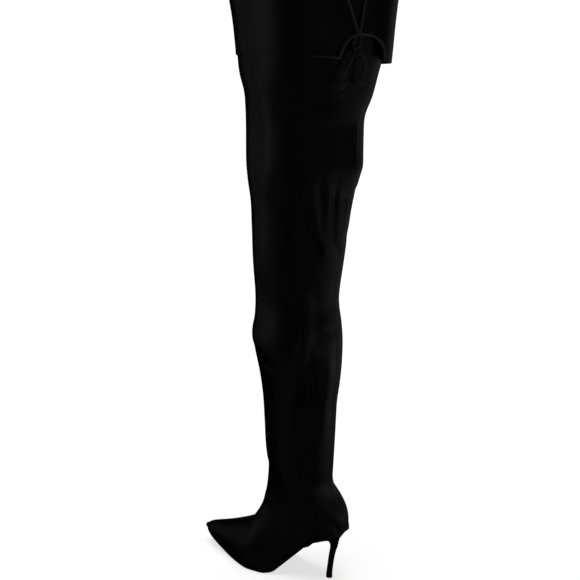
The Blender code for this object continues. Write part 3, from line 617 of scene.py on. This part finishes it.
def knit(name, deep, raised, gauge):
    """Fine knit: rows of small loops, dull and slightly furry."""
    made, tree, skin, place = blank(name)
    fed = {"Vector": place, "Scale": 0.5 / gauge, "Distortion": 1.2, "Detail": 1.0}
    courses = add_node(tree, "TexWave", fed, bands_direction="Z").outputs["Fac"]
    loops = add_node(tree, "TexVoronoi", {"Vector": place, "Scale": 1 / gauge}).outputs["Distance"]
    weave = reckon(tree, "MULTIPLY", courses, spread(tree, loops, 0.0, 0.6, 1.0, 0.2))
    tree.links.new(blend_colours(tree, weave, deep, raised), skin.inputs["Base Color"])
    tree.links.new(spread(tree, noise(tree, place, 40.0), 0.3, 0.7, 0.75, 0.92), skin.inputs["Roughness"])
    skin.inputs["Sheen Weight"].default_value = 0.25
    raise_surface(tree, weave, gauge * 0.25)
    return made


BOOT_BLACK, BOOT_WORN = (0.0075, 0.0075, 0.0085), (0.018, 0.018, 0.019)
BOOT_GLOSS = (0.17, 0.28)
BOOT_COAT = 0.10
GRAIN, GRAIN_DEPTH = 0.0009, 0.00005
boot_leather = leather("boot_leather", BOOT_BLACK, BOOT_WORN, BOOT_GLOSS, GRAIN, GRAIN_DEPTH, BOOT_COAT)
leather_seams(boot_leather, 0.0024, 0.0032)
tree = boot_leather.node_tree
skin = tree.nodes["Principled BSDF"]
rise = add_node(tree, "SeparateXYZ", {0: add_node(tree, "TexCoord").outputs["Object"]}).outputs[2]
matt = spread(tree, rise, *MATT_HEIGHTS, MATT_FOOT, 0.0)
dulled = reckon(tree, "ADD", skin.inputs["Roughness"].links[0].from_socket, matt)
tree.links.new(dulled, skin.inputs["Roughness"])
lining_knit = knit("lining_knit", (0.020, 0.019, 0.019), (0.060, 0.058, 0.056), 0.0009)

shaft_heights = np.linspace(LEVELS[ANKLE - 1], COLLAR_HEIGHT, SHAFT_ROWS + 1)[1:]
places = list(np.linspace(0, ANKLE - 1, FOOT_ROWS))
places += [float(np.interp(height, LEVELS[ANKLE - 1:], PLACES[ANKLE - 1:])) for height in shaft_heights]
sections = [section_at(place) for place in places]
tip = section_at(0)
ROWS = CAP_ROWS + len(places) - 1


def unit_grid(columns, rows):
    """A flat grid from 0 to 1 along x and y."""
    bm = bmesh.new()
    bmesh.ops.create_grid(bm, x_segments=columns, y_segments=rows, size=0.5)
    bmesh.ops.translate(bm, verts=bm.verts, vec=(0.5, 0.5, 0))
    return bm


bm = unit_grid(COLUMNS, ROWS)
column = bm.verts.layers.int.new("column")
row_of = bm.verts.layers.int.new("row")
for vert in bm.verts:
    vert[column] = round(vert.co.x * COLUMNS)
    vert[row_of] = round(vert.co.y * ROWS)
for vert in bm.verts:
    angle = -math.pi / 2 + 2 * math.pi * vert[column] / COLUMNS
    row = vert[row_of] - CAP_ROWS
    if row >= 0:
        vert.co = ring_point(sections[row], angle)
        continue
    turn = math.pi / 2 * (row + CAP_ROWS) / CAP_ROWS
    middle = Vector(((tip[0] + tip[2]) / 2, tip[6], (tip[1] + tip[3]) / 2))
    bulge = Vector((TOE_BULGE * math.cos(turn), 0, 0))
    vert.co = middle + (ring_point(tip, angle) - middle) * math.sin(turn) + bulge

surface = bm.loops.layers.uv.new("surface")
girths = {}
for vert in bm.verts:
    girths.setdefault(vert[row_of], []).append(vert)
run, lengths = 0.0, {}
for row in range(ROWS + 1):
    ring = sorted(girths[row], key=lambda v: v[column])
    girth = sum((b.co - a.co).length for a, b in zip(ring, ring[1:]))
    front = ring[COLUMNS // 2].co
    run += (front - lengths[row - 1][2]).length if row else 0.0
    lengths[row] = (girth, run, front.copy())
for face in bm.faces:
    far = sum(loop.vert[column] for loop in face.loops) / 4 > COLUMNS / 2
    for loop in face.loops:
        girth, run, _ = lengths[loop.vert[row_of]]
        loop[surface].uv = ((loop.vert[column] / COLUMNS - (1 if far else 0)) * girth, run)


def underside(face):
    """Whether a face lies in the opening that the sole closes."""
    middle = sum(vert[column] for vert in face.verts) / len(face.verts) / COLUMNS
    place = places[max(0, min(vert[row_of] for vert in face.verts) - CAP_ROWS)]
    return min(middle, 1 - middle) < OPEN_SHARE and OPEN_FROM <= place < OPEN_TO


open_faces = [face for face in bm.faces if underside(face)]
bmesh.ops.delete(bm, geom=open_faces, context="FACES")
bmesh.ops.remove_doubles(bm, verts=bm.verts, dist=2e-6)
bmesh.ops.recalc_face_normals(bm, faces=bm.faces)
for step in range(SMOOTHINGS):
    soft = [
        vert for vert in bm.verts
        if CAP_ROWS + CAP_KEPT < vert[row_of] < ROWS - 1 and not vert.is_boundary
        and vert.co.z > feather((vert.co.x - HEEL_BACK) / LAST_LENGTH)
        + np.interp(vert.co.x, SEAT_BLEND, (SEAT_KEPT, SOLE_KEPT + KEPT_STEP * step))
    ]
    bmesh.ops.smooth_vert(bm, verts=soft, factor=0.5, use_axis_x=True, use_axis_y=True, use_axis_z=True)
bm.normal_update()
bm.verts.ensure_lookup_table()
spots = np.array([tuple(vert.co) for vert in bm.verts])
lift = np.zeros(len(spots))
for route, width, height in FOLDS:
    lift += folded(spots, curve_through([leg_point(*step) for step in route], 5), width, height)
for route, width, height in CREASES:
    lift += folded(spots, curve_through(route, 5), width, height)
for vert, amount in zip(list(bm.verts), lift):
    vert.co += vert.normal * float(amount)
upper = new_piece("boot_upper", bm, boot_leather, lining_knit)
skin_wall = upper.modifiers.new("wall", "SOLIDIFY")
skin_wall.thickness = WALL
skin_wall.offset = -1
skin_wall.material_offset = 1
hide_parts("upper")

# Cuff. A second band of the same leather round the top of the shaft, notched at the outer back, cut away in
# an arch under the notch and drawn together there by the tie. Its hem is turned under and flares off the
# leg at the back.
CUFF_DEPTH = 0.066
CUFF_FLARE = 0.008
CUFF_THICKNESS = 0.0014
HEM_DROP = 0.028
HEM_HIGH = 100
NOTCH_BEARING = 152.5
NOTCH_LEAN = 4
NOTCH_DEPTH = 0.042
NOTCH_WIDTH = 0.022
NOTCH_PULL = 0.060
FLARE_BEARING = 191
SLIT_WIDTH = 0.0020
ARCH_INNER, ARCH_OUTER = 0.052, 0.020
ARCH_COLUMNS = 40
PULL_STEP = 0.002
BAND_COLUMNS = 150
CUFF_ROWS = 40
GATHER_HEIGHT, GATHER_PITCH, GATHER_REACH, GATHER_FALL = 0.0011, 0.0042, 0.016, 0.020
HEM_STITCH, HEM_PITCH = 0.0062, 0.0016
girth = math.pi * (COLLAR_WIDTH + COLLAR_DEPTH) / 2


def turned(bearing, middle):
    return math.degrees(math.remainder(math.radians(bearing - middle), 2 * math.pi))


def cuff_flare(bearing, depth):
    """How far the cuff stands off the shaft: most at the hem of the inner back."""
    near_flare = max(0.0, math.cos(math.radians(turned(bearing, FLARE_BEARING))))
    return CUFF_FLARE * near_flare ** 2 * (depth / CUFF_DEPTH) ** 1.5


def from_notch(arc):
    """Distance from the notch, the arch's reach on that side and which way the bearing turns there."""
    if arc < girth / 2:
        return arc, ARCH_INNER, 1
    return girth - arc, ARCH_OUTER, -1


def cuff_hem(arc):
    """Depth of the hem under the collar at a column: an arch beside the notch, then a hem that drops."""
    away, reach, _ = from_notch(arc)
    high = math.radians(NOTCH_BEARING + 360 * arc / girth - HEM_HIGH)
    hem = CUFF_DEPTH + HEM_DROP * (1 - math.cos(high)) / 2
    share = min(1.0, away / reach)
    return hem if share == 1 else NOTCH_DEPTH + (hem - NOTCH_DEPTH) * (1 - math.sqrt(1 - share ** 2))


def cuff_bearing(arc, depth):
    """Bearing of a column of the cuff, pushed aside by the notch, which leans to the front."""
    away, _, side = from_notch(arc)
    above = max(0.0, 1 - depth / NOTCH_DEPTH)
    pull = max(0.0, 1 - away / NOTCH_PULL)
    open_half = (SLIT_WIDTH + NOTCH_WIDTH * above) / 2
    return NOTCH_BEARING + 360 * (arc + side * open_half * pull) / girth - NOTCH_LEAN * above * pull


def cuff_gather(away, depth):
    """Small gathers that run from the tips of the cuff, where the tie draws them together."""
    near_tip = math.exp(-away / GATHER_REACH) * math.exp(-((depth - NOTCH_DEPTH) / GATHER_FALL) ** 2)
    return GATHER_HEIGHT * max(0.0, math.cos(away / GATHER_PITCH)) * near_tip


def cuff_point(arc, share, grow):
    """A point of the cuff: arc is round from the notch and share is down from the collar to the hem."""
    depth = cuff_hem(arc) * share
    bearing = cuff_bearing(arc, depth)
    stand = GAP + cuff_flare(bearing, depth) + cuff_gather(from_notch(arc)[0], depth) + grow
    return ring_point(leg_section(COLLAR_HEIGHT - depth), math.radians(90 - bearing), stand)


def side_arcs(reach):
    """Distances from the notch to one side: close together along the arch, then evenly while it pulls."""
    arch = [reach * math.sin(math.pi / 2 * k / ARCH_COLUMNS) for k in range(ARCH_COLUMNS + 1)]
    return arch + list(np.linspace(reach, NOTCH_PULL, round((NOTCH_PULL - reach) / PULL_STEP) + 1)[1:])


band_arcs = list(np.linspace(NOTCH_PULL, girth - NOTCH_PULL, BAND_COLUMNS + 2)[1:-1])
arcs = side_arcs(ARCH_INNER) + band_arcs + [girth - arc for arc in reversed(side_arcs(ARCH_OUTER))]
shares = [1 - (1 - k / CUFF_ROWS) ** 1.35 for k in range(CUFF_ROWS + 1)]
bm = unit_grid(len(arcs) - 1, CUFF_ROWS)
surface = bm.loops.layers.uv.new("surface")
mapped = {}
for vert in bm.verts:
    j = round(vert.co.x * (len(arcs) - 1))
    i = CUFF_ROWS - round(vert.co.y * CUFF_ROWS)
    mapped[vert] = (arcs[j], shares[i])
for vert, (arc, share) in mapped.items():
    vert.co = cuff_point(arc, share, 0.0)
    mapped[vert] = (arc, cuff_hem(arc) * (1 - share))
for face in bm.faces:
    for loop in face.loops:
        loop[surface].uv = (mapped[loop.vert][1], mapped[loop.vert][0])
bm.normal_update()
middle = Vector((0.03, 0.0, 0.76))
if sum((face.calc_center_median() - middle).dot(face.normal) for face in bm.faces) < 0:
    bmesh.ops.reverse_faces(bm, faces=bm.faces)
cuff_leather = leather("cuff_leather", BOOT_BLACK, BOOT_WORN, BOOT_GLOSS, GRAIN, GRAIN_DEPTH, BOOT_COAT)
tree = cuff_leather.node_tree
parts = add_node(tree, "SeparateXYZ", {0: add_node(tree, "UVMap", uv_map="surface").outputs[0]})
from_hem = parts.outputs[0]
beside = reckon(tree, "ABSOLUTE", reckon(tree, "SUBTRACT", from_hem, HEM_STITCH))
line = spread(tree, beside, 0.0002, 0.0006, 1.0, 0.0)
dash = spread(tree, reckon(tree, "PINGPONG", parts.outputs[1], HEM_PITCH), 0.0002, 0.0005, 0.0, 1.0)
raise_surface(tree, reckon(tree, "MULTIPLY", line, dash), 0.0003)
raise_surface(tree, spread(tree, from_hem, 0.0035, 0.0068, 1.0, 0.0), 0.0005)
cuff = new_piece("cuff_band", bm, cuff_leather, lining_knit)
cuff_wall = cuff.modifiers.new("wall", "SOLIDIFY")
cuff_wall.thickness = CUFF_THICKNESS
cuff_wall.offset = 1
cuff_wall.material_offset = 1
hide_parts("cuff")


def piping(name, route, thickness, made, closed=False):
    """A thin rolled edge along a route."""
    line = bpy.data.curves.new(name, "CURVE")
    line.dimensions = "3D"
    line.bevel_depth = 1.0  # the points carry the radius in metres
    line.bevel_resolution = 3
    line.use_fill_caps = not closed
    spline = line.splines.new("POLY")
    spline.use_cyclic_u = closed
    spline.points.add(len(route) - 1)
    for point, place in zip(spline.points, route):
        point.co = (*place, 1.0)
        point.radius = thickness / 2
    piece = placed(name, line)
    piece.data.materials.append(made)
    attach(piece, "root")
    return piece


# Rolled edges. The leather is turned over along the notch and the arch of the cuff, and over the collar,
# where shaft and cuff are sewn together, so that these edges show a soft round bead. Its leather is painted
# far lighter than the boot's black, a painted highlight for the light the bead catches, lighter still where
# rubbed.
EDGE_ROLL = 0.0038
HEM_ROLLED = 0.068         # how far round from the notch the outer side's hem is rolled too
ROLL_END = 0.3             # how thick the roll still is there
RIM_POINTS = 240
# Painted highlight: the beads are coloured light grey for the light that the rolled edge catches, not as the
# leather's own colour.
EDGE_PAINTED_LIT, EDGE_PAINTED_LIT_WORN = (0.150, 0.150, 0.151), (0.240, 0.237, 0.235)
edge_painted_highlight = leather("edge_painted_highlight", EDGE_PAINTED_LIT, EDGE_PAINTED_LIT_WORN, (0.20, 0.30), 0.0008, GRAIN_DEPTH, 0.4)
half = CUFF_THICKNESS / 2
edge = [cuff_point(arcs[0], share, half) for share in shares]
edge += [cuff_point(arc, 1.0, half) for arc in arcs[1:] if arc <= ARCH_INNER + 1e-6]
piping("cuff_edge_inner", edge, EDGE_ROLL, edge_painted_highlight)
edge = [cuff_point(arcs[-1], share, half) for share in shares]
hem_line = [arc for arc in arcs[-2::-1] if girth - arc <= HEM_ROLLED]
edge += [cuff_point(arc, 1.0, half) for arc in hem_line]
outer_edge = piping("cuff_edge_outer", edge, EDGE_ROLL, edge_painted_highlight)
for arc, point in zip(hem_line, outer_edge.data.splines[0].points[len(shares):]):
    left = (HEM_ROLLED - girth + arc) / (HEM_ROLLED - ARCH_OUTER)
    point.radius *= min(1.0, ROLL_END + (1 - ROLL_END) * left)
collar = leg_section(COLLAR_HEIGHT)
rim = [ring_point(collar, 2 * math.pi * k / RIM_POINTS) for k in range(RIM_POINTS)]
piping("collar_edge", rim, EDGE_ROLL, edge_painted_highlight, closed=True)

# Insole. A thin board under soft black leather, cemented inside the shoe from the heel to behind the toe.
# The solid of the part is its shape, so only its leather is made here.
INSOLE_BLACK, INSOLE_WORN = (0.020, 0.019, 0.018), (0.060, 0.055, 0.050)
insole_leather = leather("insole_leather", INSOLE_BLACK, INSOLE_WORN, (0.50, 0.65), 0.0011, 0.00006, 0.0)
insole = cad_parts["insole"]
insole.data.materials.clear()
insole.data.materials.append(insole_leather)

# Outsole. A thin black leather sole from the toe to the front of the heel, cemented under the upper, with a
# rounded edge and fine lengthwise marks from wear.
SOLE_INSET = 0.0006
SEAT_INSET = 0.0035
SOLE_END = 0.992
HEEL_BREAST = 0.042
SEAT_LIFT = 0.02
SOLE_COLUMNS = 20
SOLE_ROWS = 130
SOLE_CROWDING = 1.25       # how much closer the rows lie at the toe
SLOPE_STEP = 0.005
SOLE_ROUNDING = 0.0009
rows = FOOT[FOOT[:, 1] <= SEAT_LIFT][::-1]


def half_widths(share):
    """Outer and inner edge of the last over its feather line."""
    edges = np.stack([rows[:, 7], rows[:, 5] * rows[:, 10], rows[:, 6] * rows[:, 10]], 1)
    swing, outer, inner = smooth(rows[:, 0], edges, share)
    return (swing + outer) * BALL_WIDTH, (swing - inner) * BALL_WIDTH


def worn_sole(name):
    """Smooth sole leather, dull, with scuffs along its length."""
    made, tree, skin, place = blank(name)
    drawn = add_node(tree, "Mapping", {"Vector": place, "Scale": (40.0, 900.0, 200.0)}).outputs[0]
    scuffs = noise(tree, drawn, 1.0, 4.0, 0.65)
    patches = noise(tree, place, 22.0, 3.0)
    drawn_out = spread(tree, scuffs, 0.5, 0.75, 0.0, 1.0)
    worn = reckon(tree, "MULTIPLY", drawn_out, spread(tree, patches, 0.4, 0.6, 0.1, 1.0))
    rubbed = blend_colours(tree, worn, (0.012, 0.012, 0.012), (0.050, 0.048, 0.045))
    tree.links.new(rubbed, skin.inputs["Base Color"])
    tree.links.new(spread(tree, patches, 0.3, 0.7, 0.42, 0.62), skin.inputs["Roughness"])
    raise_surface(tree, scuffs, 0.00012)
    return made


start = (HEEL_BREAST + GAP) / LAST_LENGTH
bm = unit_grid(SOLE_ROWS, SOLE_COLUMNS)
for vert in bm.verts:
    along, across, _ = vert.co
    share = start + (SOLE_END - start) * (1 - (1 - along) ** SOLE_CROWDING)
    outer, inner = half_widths(share)
    outer, inner = outer - SOLE_INSET, inner + SOLE_INSET
    slope = (feather(share + SLOPE_STEP) - feather(share - SLOPE_STEP)) / (2 * SLOPE_STEP * LAST_LENGTH)
    height = feather(share) - GAP * math.sqrt(1 + slope ** 2)
    vert.co = (HEEL_BACK + share * LAST_LENGTH, inner + (outer - inner) * across, height)
bm.normal_update()
if sum(face.normal.z for face in bm.faces) < 0:
    bmesh.ops.reverse_faces(bm, faces=bm.faces)
sole_leather = worn_sole("sole_leather")
outsole = new_piece("sole", bm, sole_leather)
sole_wall = outsole.modifiers.new("wall", "SOLIDIFY")
sole_wall.thickness = SOLE_THICKNESS
sole_wall.offset = -1
sole_wall.use_even_offset = True
sole_round = outsole.modifiers.new("round", "BEVEL")
sole_round.width = SOLE_ROUNDING
sole_round.segments = 3
sole_round.limit_method = "ANGLE"
sole_round.angle_limit = math.radians(50)
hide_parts("outsole")

# Covered heel. A moulded stiletto core wrapped in the boot's own leather, with the wrap's seam down its
# front, and screwed to the shoe from inside under the heel seat.
TIP_WIDTH = 0.0090
TOP_PIECE_THICKNESS = 0.006
BREAST_SQUARE = 5
HEEL_SIDES = 72
HEEL_ROWS = 60
HEEL_SEAM_SPAN = 0.03
# Up the heel: share of its height, lean to the back, width of the stem and how far it has turned into the
# seat
HEEL = np.array((
    (0.080, 0.00, 0.94, 0.00), (0.250, 0.06, 0.92, 0.00), (0.450, 0.14, 0.96, 0.00),
    (0.600, 0.23, 1.04, 0.00), (0.700, 0.30, 1.14, 0.02), (0.780, 0.32, 1.16, 0.10),
    (0.845, 0.28, 1.16, 0.30), (0.905, 0.16, 1.16, 0.60), (0.955, 0.06, 1.16, 0.84),
    (1.000, 0.00, 1.16, 1.00),
))


def heel_point(share, angle):
    """A point of the heel: share of its height and angle round it, 0 at the front."""
    lean, stem, seat = smooth(HEEL[:, 0], HEEL[:, 1:], share)
    stem *= TIP_WIDTH / 2
    centre = lean * HEEL_BACK
    outer, inner = half_widths(0.0)
    across, ahead = math.sin(angle), math.cos(angle)
    square = BREAST_SQUARE if ahead > 0 else 2
    front = HEEL_BACK + HEEL_BREAST if ahead > 0 else -HEEL_BACK - SEAT_INSET
    seat_x = math.copysign(abs(ahead) ** (2 / square), ahead) * front
    seat_y = math.copysign(abs(across) ** (2 / square), across) * (outer if across > 0 else -inner)
    x = centre + stem * ahead * (1 - seat) + (seat_x - centre) * seat
    y = stem * across * (1 - seat) + seat_y * seat
    drop = feather((x - HEEL_BACK) / LAST_LENGTH) - GAP - HEEL_HEIGHT
    return Vector((x, y, share * HEEL_HEIGHT + drop * seat))


bm = unit_grid(HEEL_SIDES, HEEL_ROWS)
surface = bm.loops.layers.uv.new("surface")
lowest = (TOP_PIECE_THICKNESS + GAP) / HEEL_HEIGHT
for face in bm.faces:
    for loop in face.loops:
        around, up, _ = loop.vert.co
        loop[surface].uv = ((around - 0.5) * HEEL_SEAM_SPAN, up * HEEL_HEIGHT)
for vert in bm.verts:
    around, up, _ = vert.co
    vert.co = heel_point(lowest + (1 - lowest) * up, 2 * math.pi * (around - 0.5))
bmesh.ops.remove_doubles(bm, verts=bm.verts, dist=1e-6)
bmesh.ops.holes_fill(bm, edges=bm.edges, sides=0)
bmesh.ops.triangulate(bm, faces=[face for face in bm.faces if len(face.verts) > 4])
bmesh.ops.recalc_face_normals(bm, faces=bm.faces)
HEEL_WORN = (0.022, 0.022, 0.023)
heel_leather = leather("heel_leather", BOOT_BLACK, HEEL_WORN, (0.24, 0.36), GRAIN, GRAIN_DEPTH, 0.15)
tree = heel_leather.node_tree
parts = add_node(tree, "SeparateXYZ", {0: add_node(tree, "UVMap", uv_map="surface").outputs[0]})
raise_surface(tree, spread(tree, reckon(tree, "ABSOLUTE", parts.outputs[0]), 0.0, 0.0006, 0.0, 1.0), 0.0004)
heel = new_piece("covered_heel", bm, heel_leather)
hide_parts("heel")

# Top piece. A small disc of hard black rubber pinned into the heel's foot, dull, with a rounded rim and a
# worn sole.
TIP_SIDES = 64
TIP_TAPER = 0.97
TIP_ROUNDING = 0.0004
bm = bmesh.new()
wide = TIP_WIDTH / 2
bmesh.ops.create_cone(
    bm, cap_ends=True, segments=TIP_SIDES, radius1=wide, radius2=wide * TIP_TAPER, depth=TOP_PIECE_THICKNESS
)
bmesh.ops.translate(bm, verts=bm.verts, vec=(0, 0, TOP_PIECE_THICKNESS / 2))
rims = [edge for edge in bm.edges if len(edge.link_faces) == 2 and edge.calc_face_angle() > 1.0]
bmesh.ops.bevel(bm, geom=rims, offset=TIP_ROUNDING, segments=3, profile=0.5, affect="EDGES", material=-1)
tip_rubber = worn_sole("tip_rubber")
top_piece = new_piece("heel_tip", bm, tip_rubber)
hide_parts("top_piece")

# Studio. A pale floor that runs out of sight, one soft light over it, and soft boxes round the boot. The
# leather mirrors each box as a band, so a box is as high and as wide as the band that it leaves.
FLOOR_HALF = 12
bm = bmesh.new()
bmesh.ops.create_grid(bm, x_segments=4, y_segments=4, size=FLOOR_HALF)
mesh = bpy.data.meshes.new("floor")
bm.to_mesh(mesh)
bm.free()
floor = placed("floor", mesh)
floor_paint, _, paint, _ = blank("floor_paint")
paint.inputs["Base Color"].default_value = (0.30, 0.30, 0.30, 1.0)
paint.inputs["Roughness"].default_value = 0.9
paint.inputs["Specular IOR Level"].default_value = 0.0
paint.inputs["Emission Color"].default_value = (1.0, 1.0, 1.0, 1.0)
paint.inputs["Emission Strength"].default_value = 0.72
floor.data.materials.append(floor_paint)
floor.visible_glossy = False
floor.visible_diffuse = False
floor_only = bpy.data.collections.new("floor_only")
bpy.context.scene.collection.children.link(floor_only)
floor_only.objects.link(floor)

world = bpy.data.worlds.new("studio")
world.use_nodes = True
world.node_tree.nodes["Background"].inputs["Color"].default_value = (1.0, 1.0, 1.0, 1.0)
world.node_tree.nodes["Background"].inputs["Strength"].default_value = 1.02
world.cycles_visibility.glossy = False
world.cycles_visibility.diffuse = False
world.cycles_visibility.transmission = False
world.cycles_visibility.scatter = False
bpy.context.scene.world = world
bpy.context.scene.view_settings.view_transform = "Standard"
bpy.context.scene.view_settings.look = "None"

overhead_data = bpy.data.lights.new("overhead", "SUN")
overhead_data.energy = 3.4
overhead_data.angle = math.radians(50)
overhead = placed("overhead", overhead_data)
overhead.light_linking.receiver_collection = floor_only


def softbox(name, bearing, distance, low, high, width, radiance, leg=(0.04, 0.0), aim_height=None):
    """A soft light that stands round the boot and faces it. Bearings are the boot's own."""
    data = bpy.data.lights.new(name, "AREA")
    data.shape = "RECTANGLE"
    data.size = width
    data.size_y = high - low
    data.energy = radiance * math.pi * width * (high - low)
    light = placed(name, data)
    turn = math.radians(bearing)
    middle = (low + high) / 2
    light.location = (leg[0] + distance * math.cos(turn), leg[1] + distance * math.sin(turn), middle)
    target = Vector((leg[0], leg[1], middle if aim_height is None else aim_height))
    light.rotation_euler = (target - light.location).to_track_quat("-Z", "Y").to_euler()
    light.visible_camera = False


softbox("front_outer", 46, 1.5, 0.17, 0.90, 0.82, 0.19)
softbox("front_outer_top", 70, 1.5, 0.42, 0.90, 0.36, 0.16)
softbox("front_outer_mid", 38, 1.5, 0.06, 0.17, 0.80, 0.22)
softbox("front_outer_low", 22, 1.5, -0.02, 0.06, 0.55, 0.15)
softbox("front", 7, 1.5, -0.08, 1.10, 1.00, 0.055)
softbox("toe_front", 20, 1.6, 0.9, 1.8, 1.5, 0.17, aim_height=0.05)
softbox("toe_top", 0, 0.02, 1.3, 2.0, 0.80, 0.11, leg=(0.22, 0.0), aim_height=0.0)
softbox("camera_side", 122, 1.7, -1.1, 0.9, 1.6, 0.045)
softbox("outer_low", 62, 1.3, -1.1, -0.2, 1.4, 0.045, aim_height=0.3)
softbox("calf_left", 175, 1.1, -0.05, 0.19, 1.00, 0.17)
softbox("calf_right", 222, 1.1, -0.05, 0.33, 0.86, 0.085)
softbox("calf_low", 205, 0.45, -0.04, 0.16, 0.62, 0.11)
softbox("rear_low", 248, 1.1, -1.0, -0.56, 0.62, 0.09)
softbox("rear_tall", 259, 1.6, -0.8, 0.45, 1.0, 0.028)
softbox("rear_cuff", 259, 1.6, 0.45, 1.2, 1.0, 0.020)
softbox("tie_side", 183, 1.1, 0.58, 0.90, 0.66, 0.075)
softbox("back", -58, 2.2, -0.8, 1.6, 1.2, 0.03)
softbox("inner", -92, 1.5, -0.4, 1.5, 0.5, 0.05)
softbox("heel_side", 222, 0.42, 0.08, 0.34, 0.40, 0.06, leg=(0.0, 0.0))
softbox("counter", 198, 1.5, 0.9, 1.7, 1.9, 0.10, leg=(0.0, 0.0))
softbox("heel_stem", 205, 0.42, -0.28, -0.13, 0.50, 0.09, leg=(0.0, 0.0))
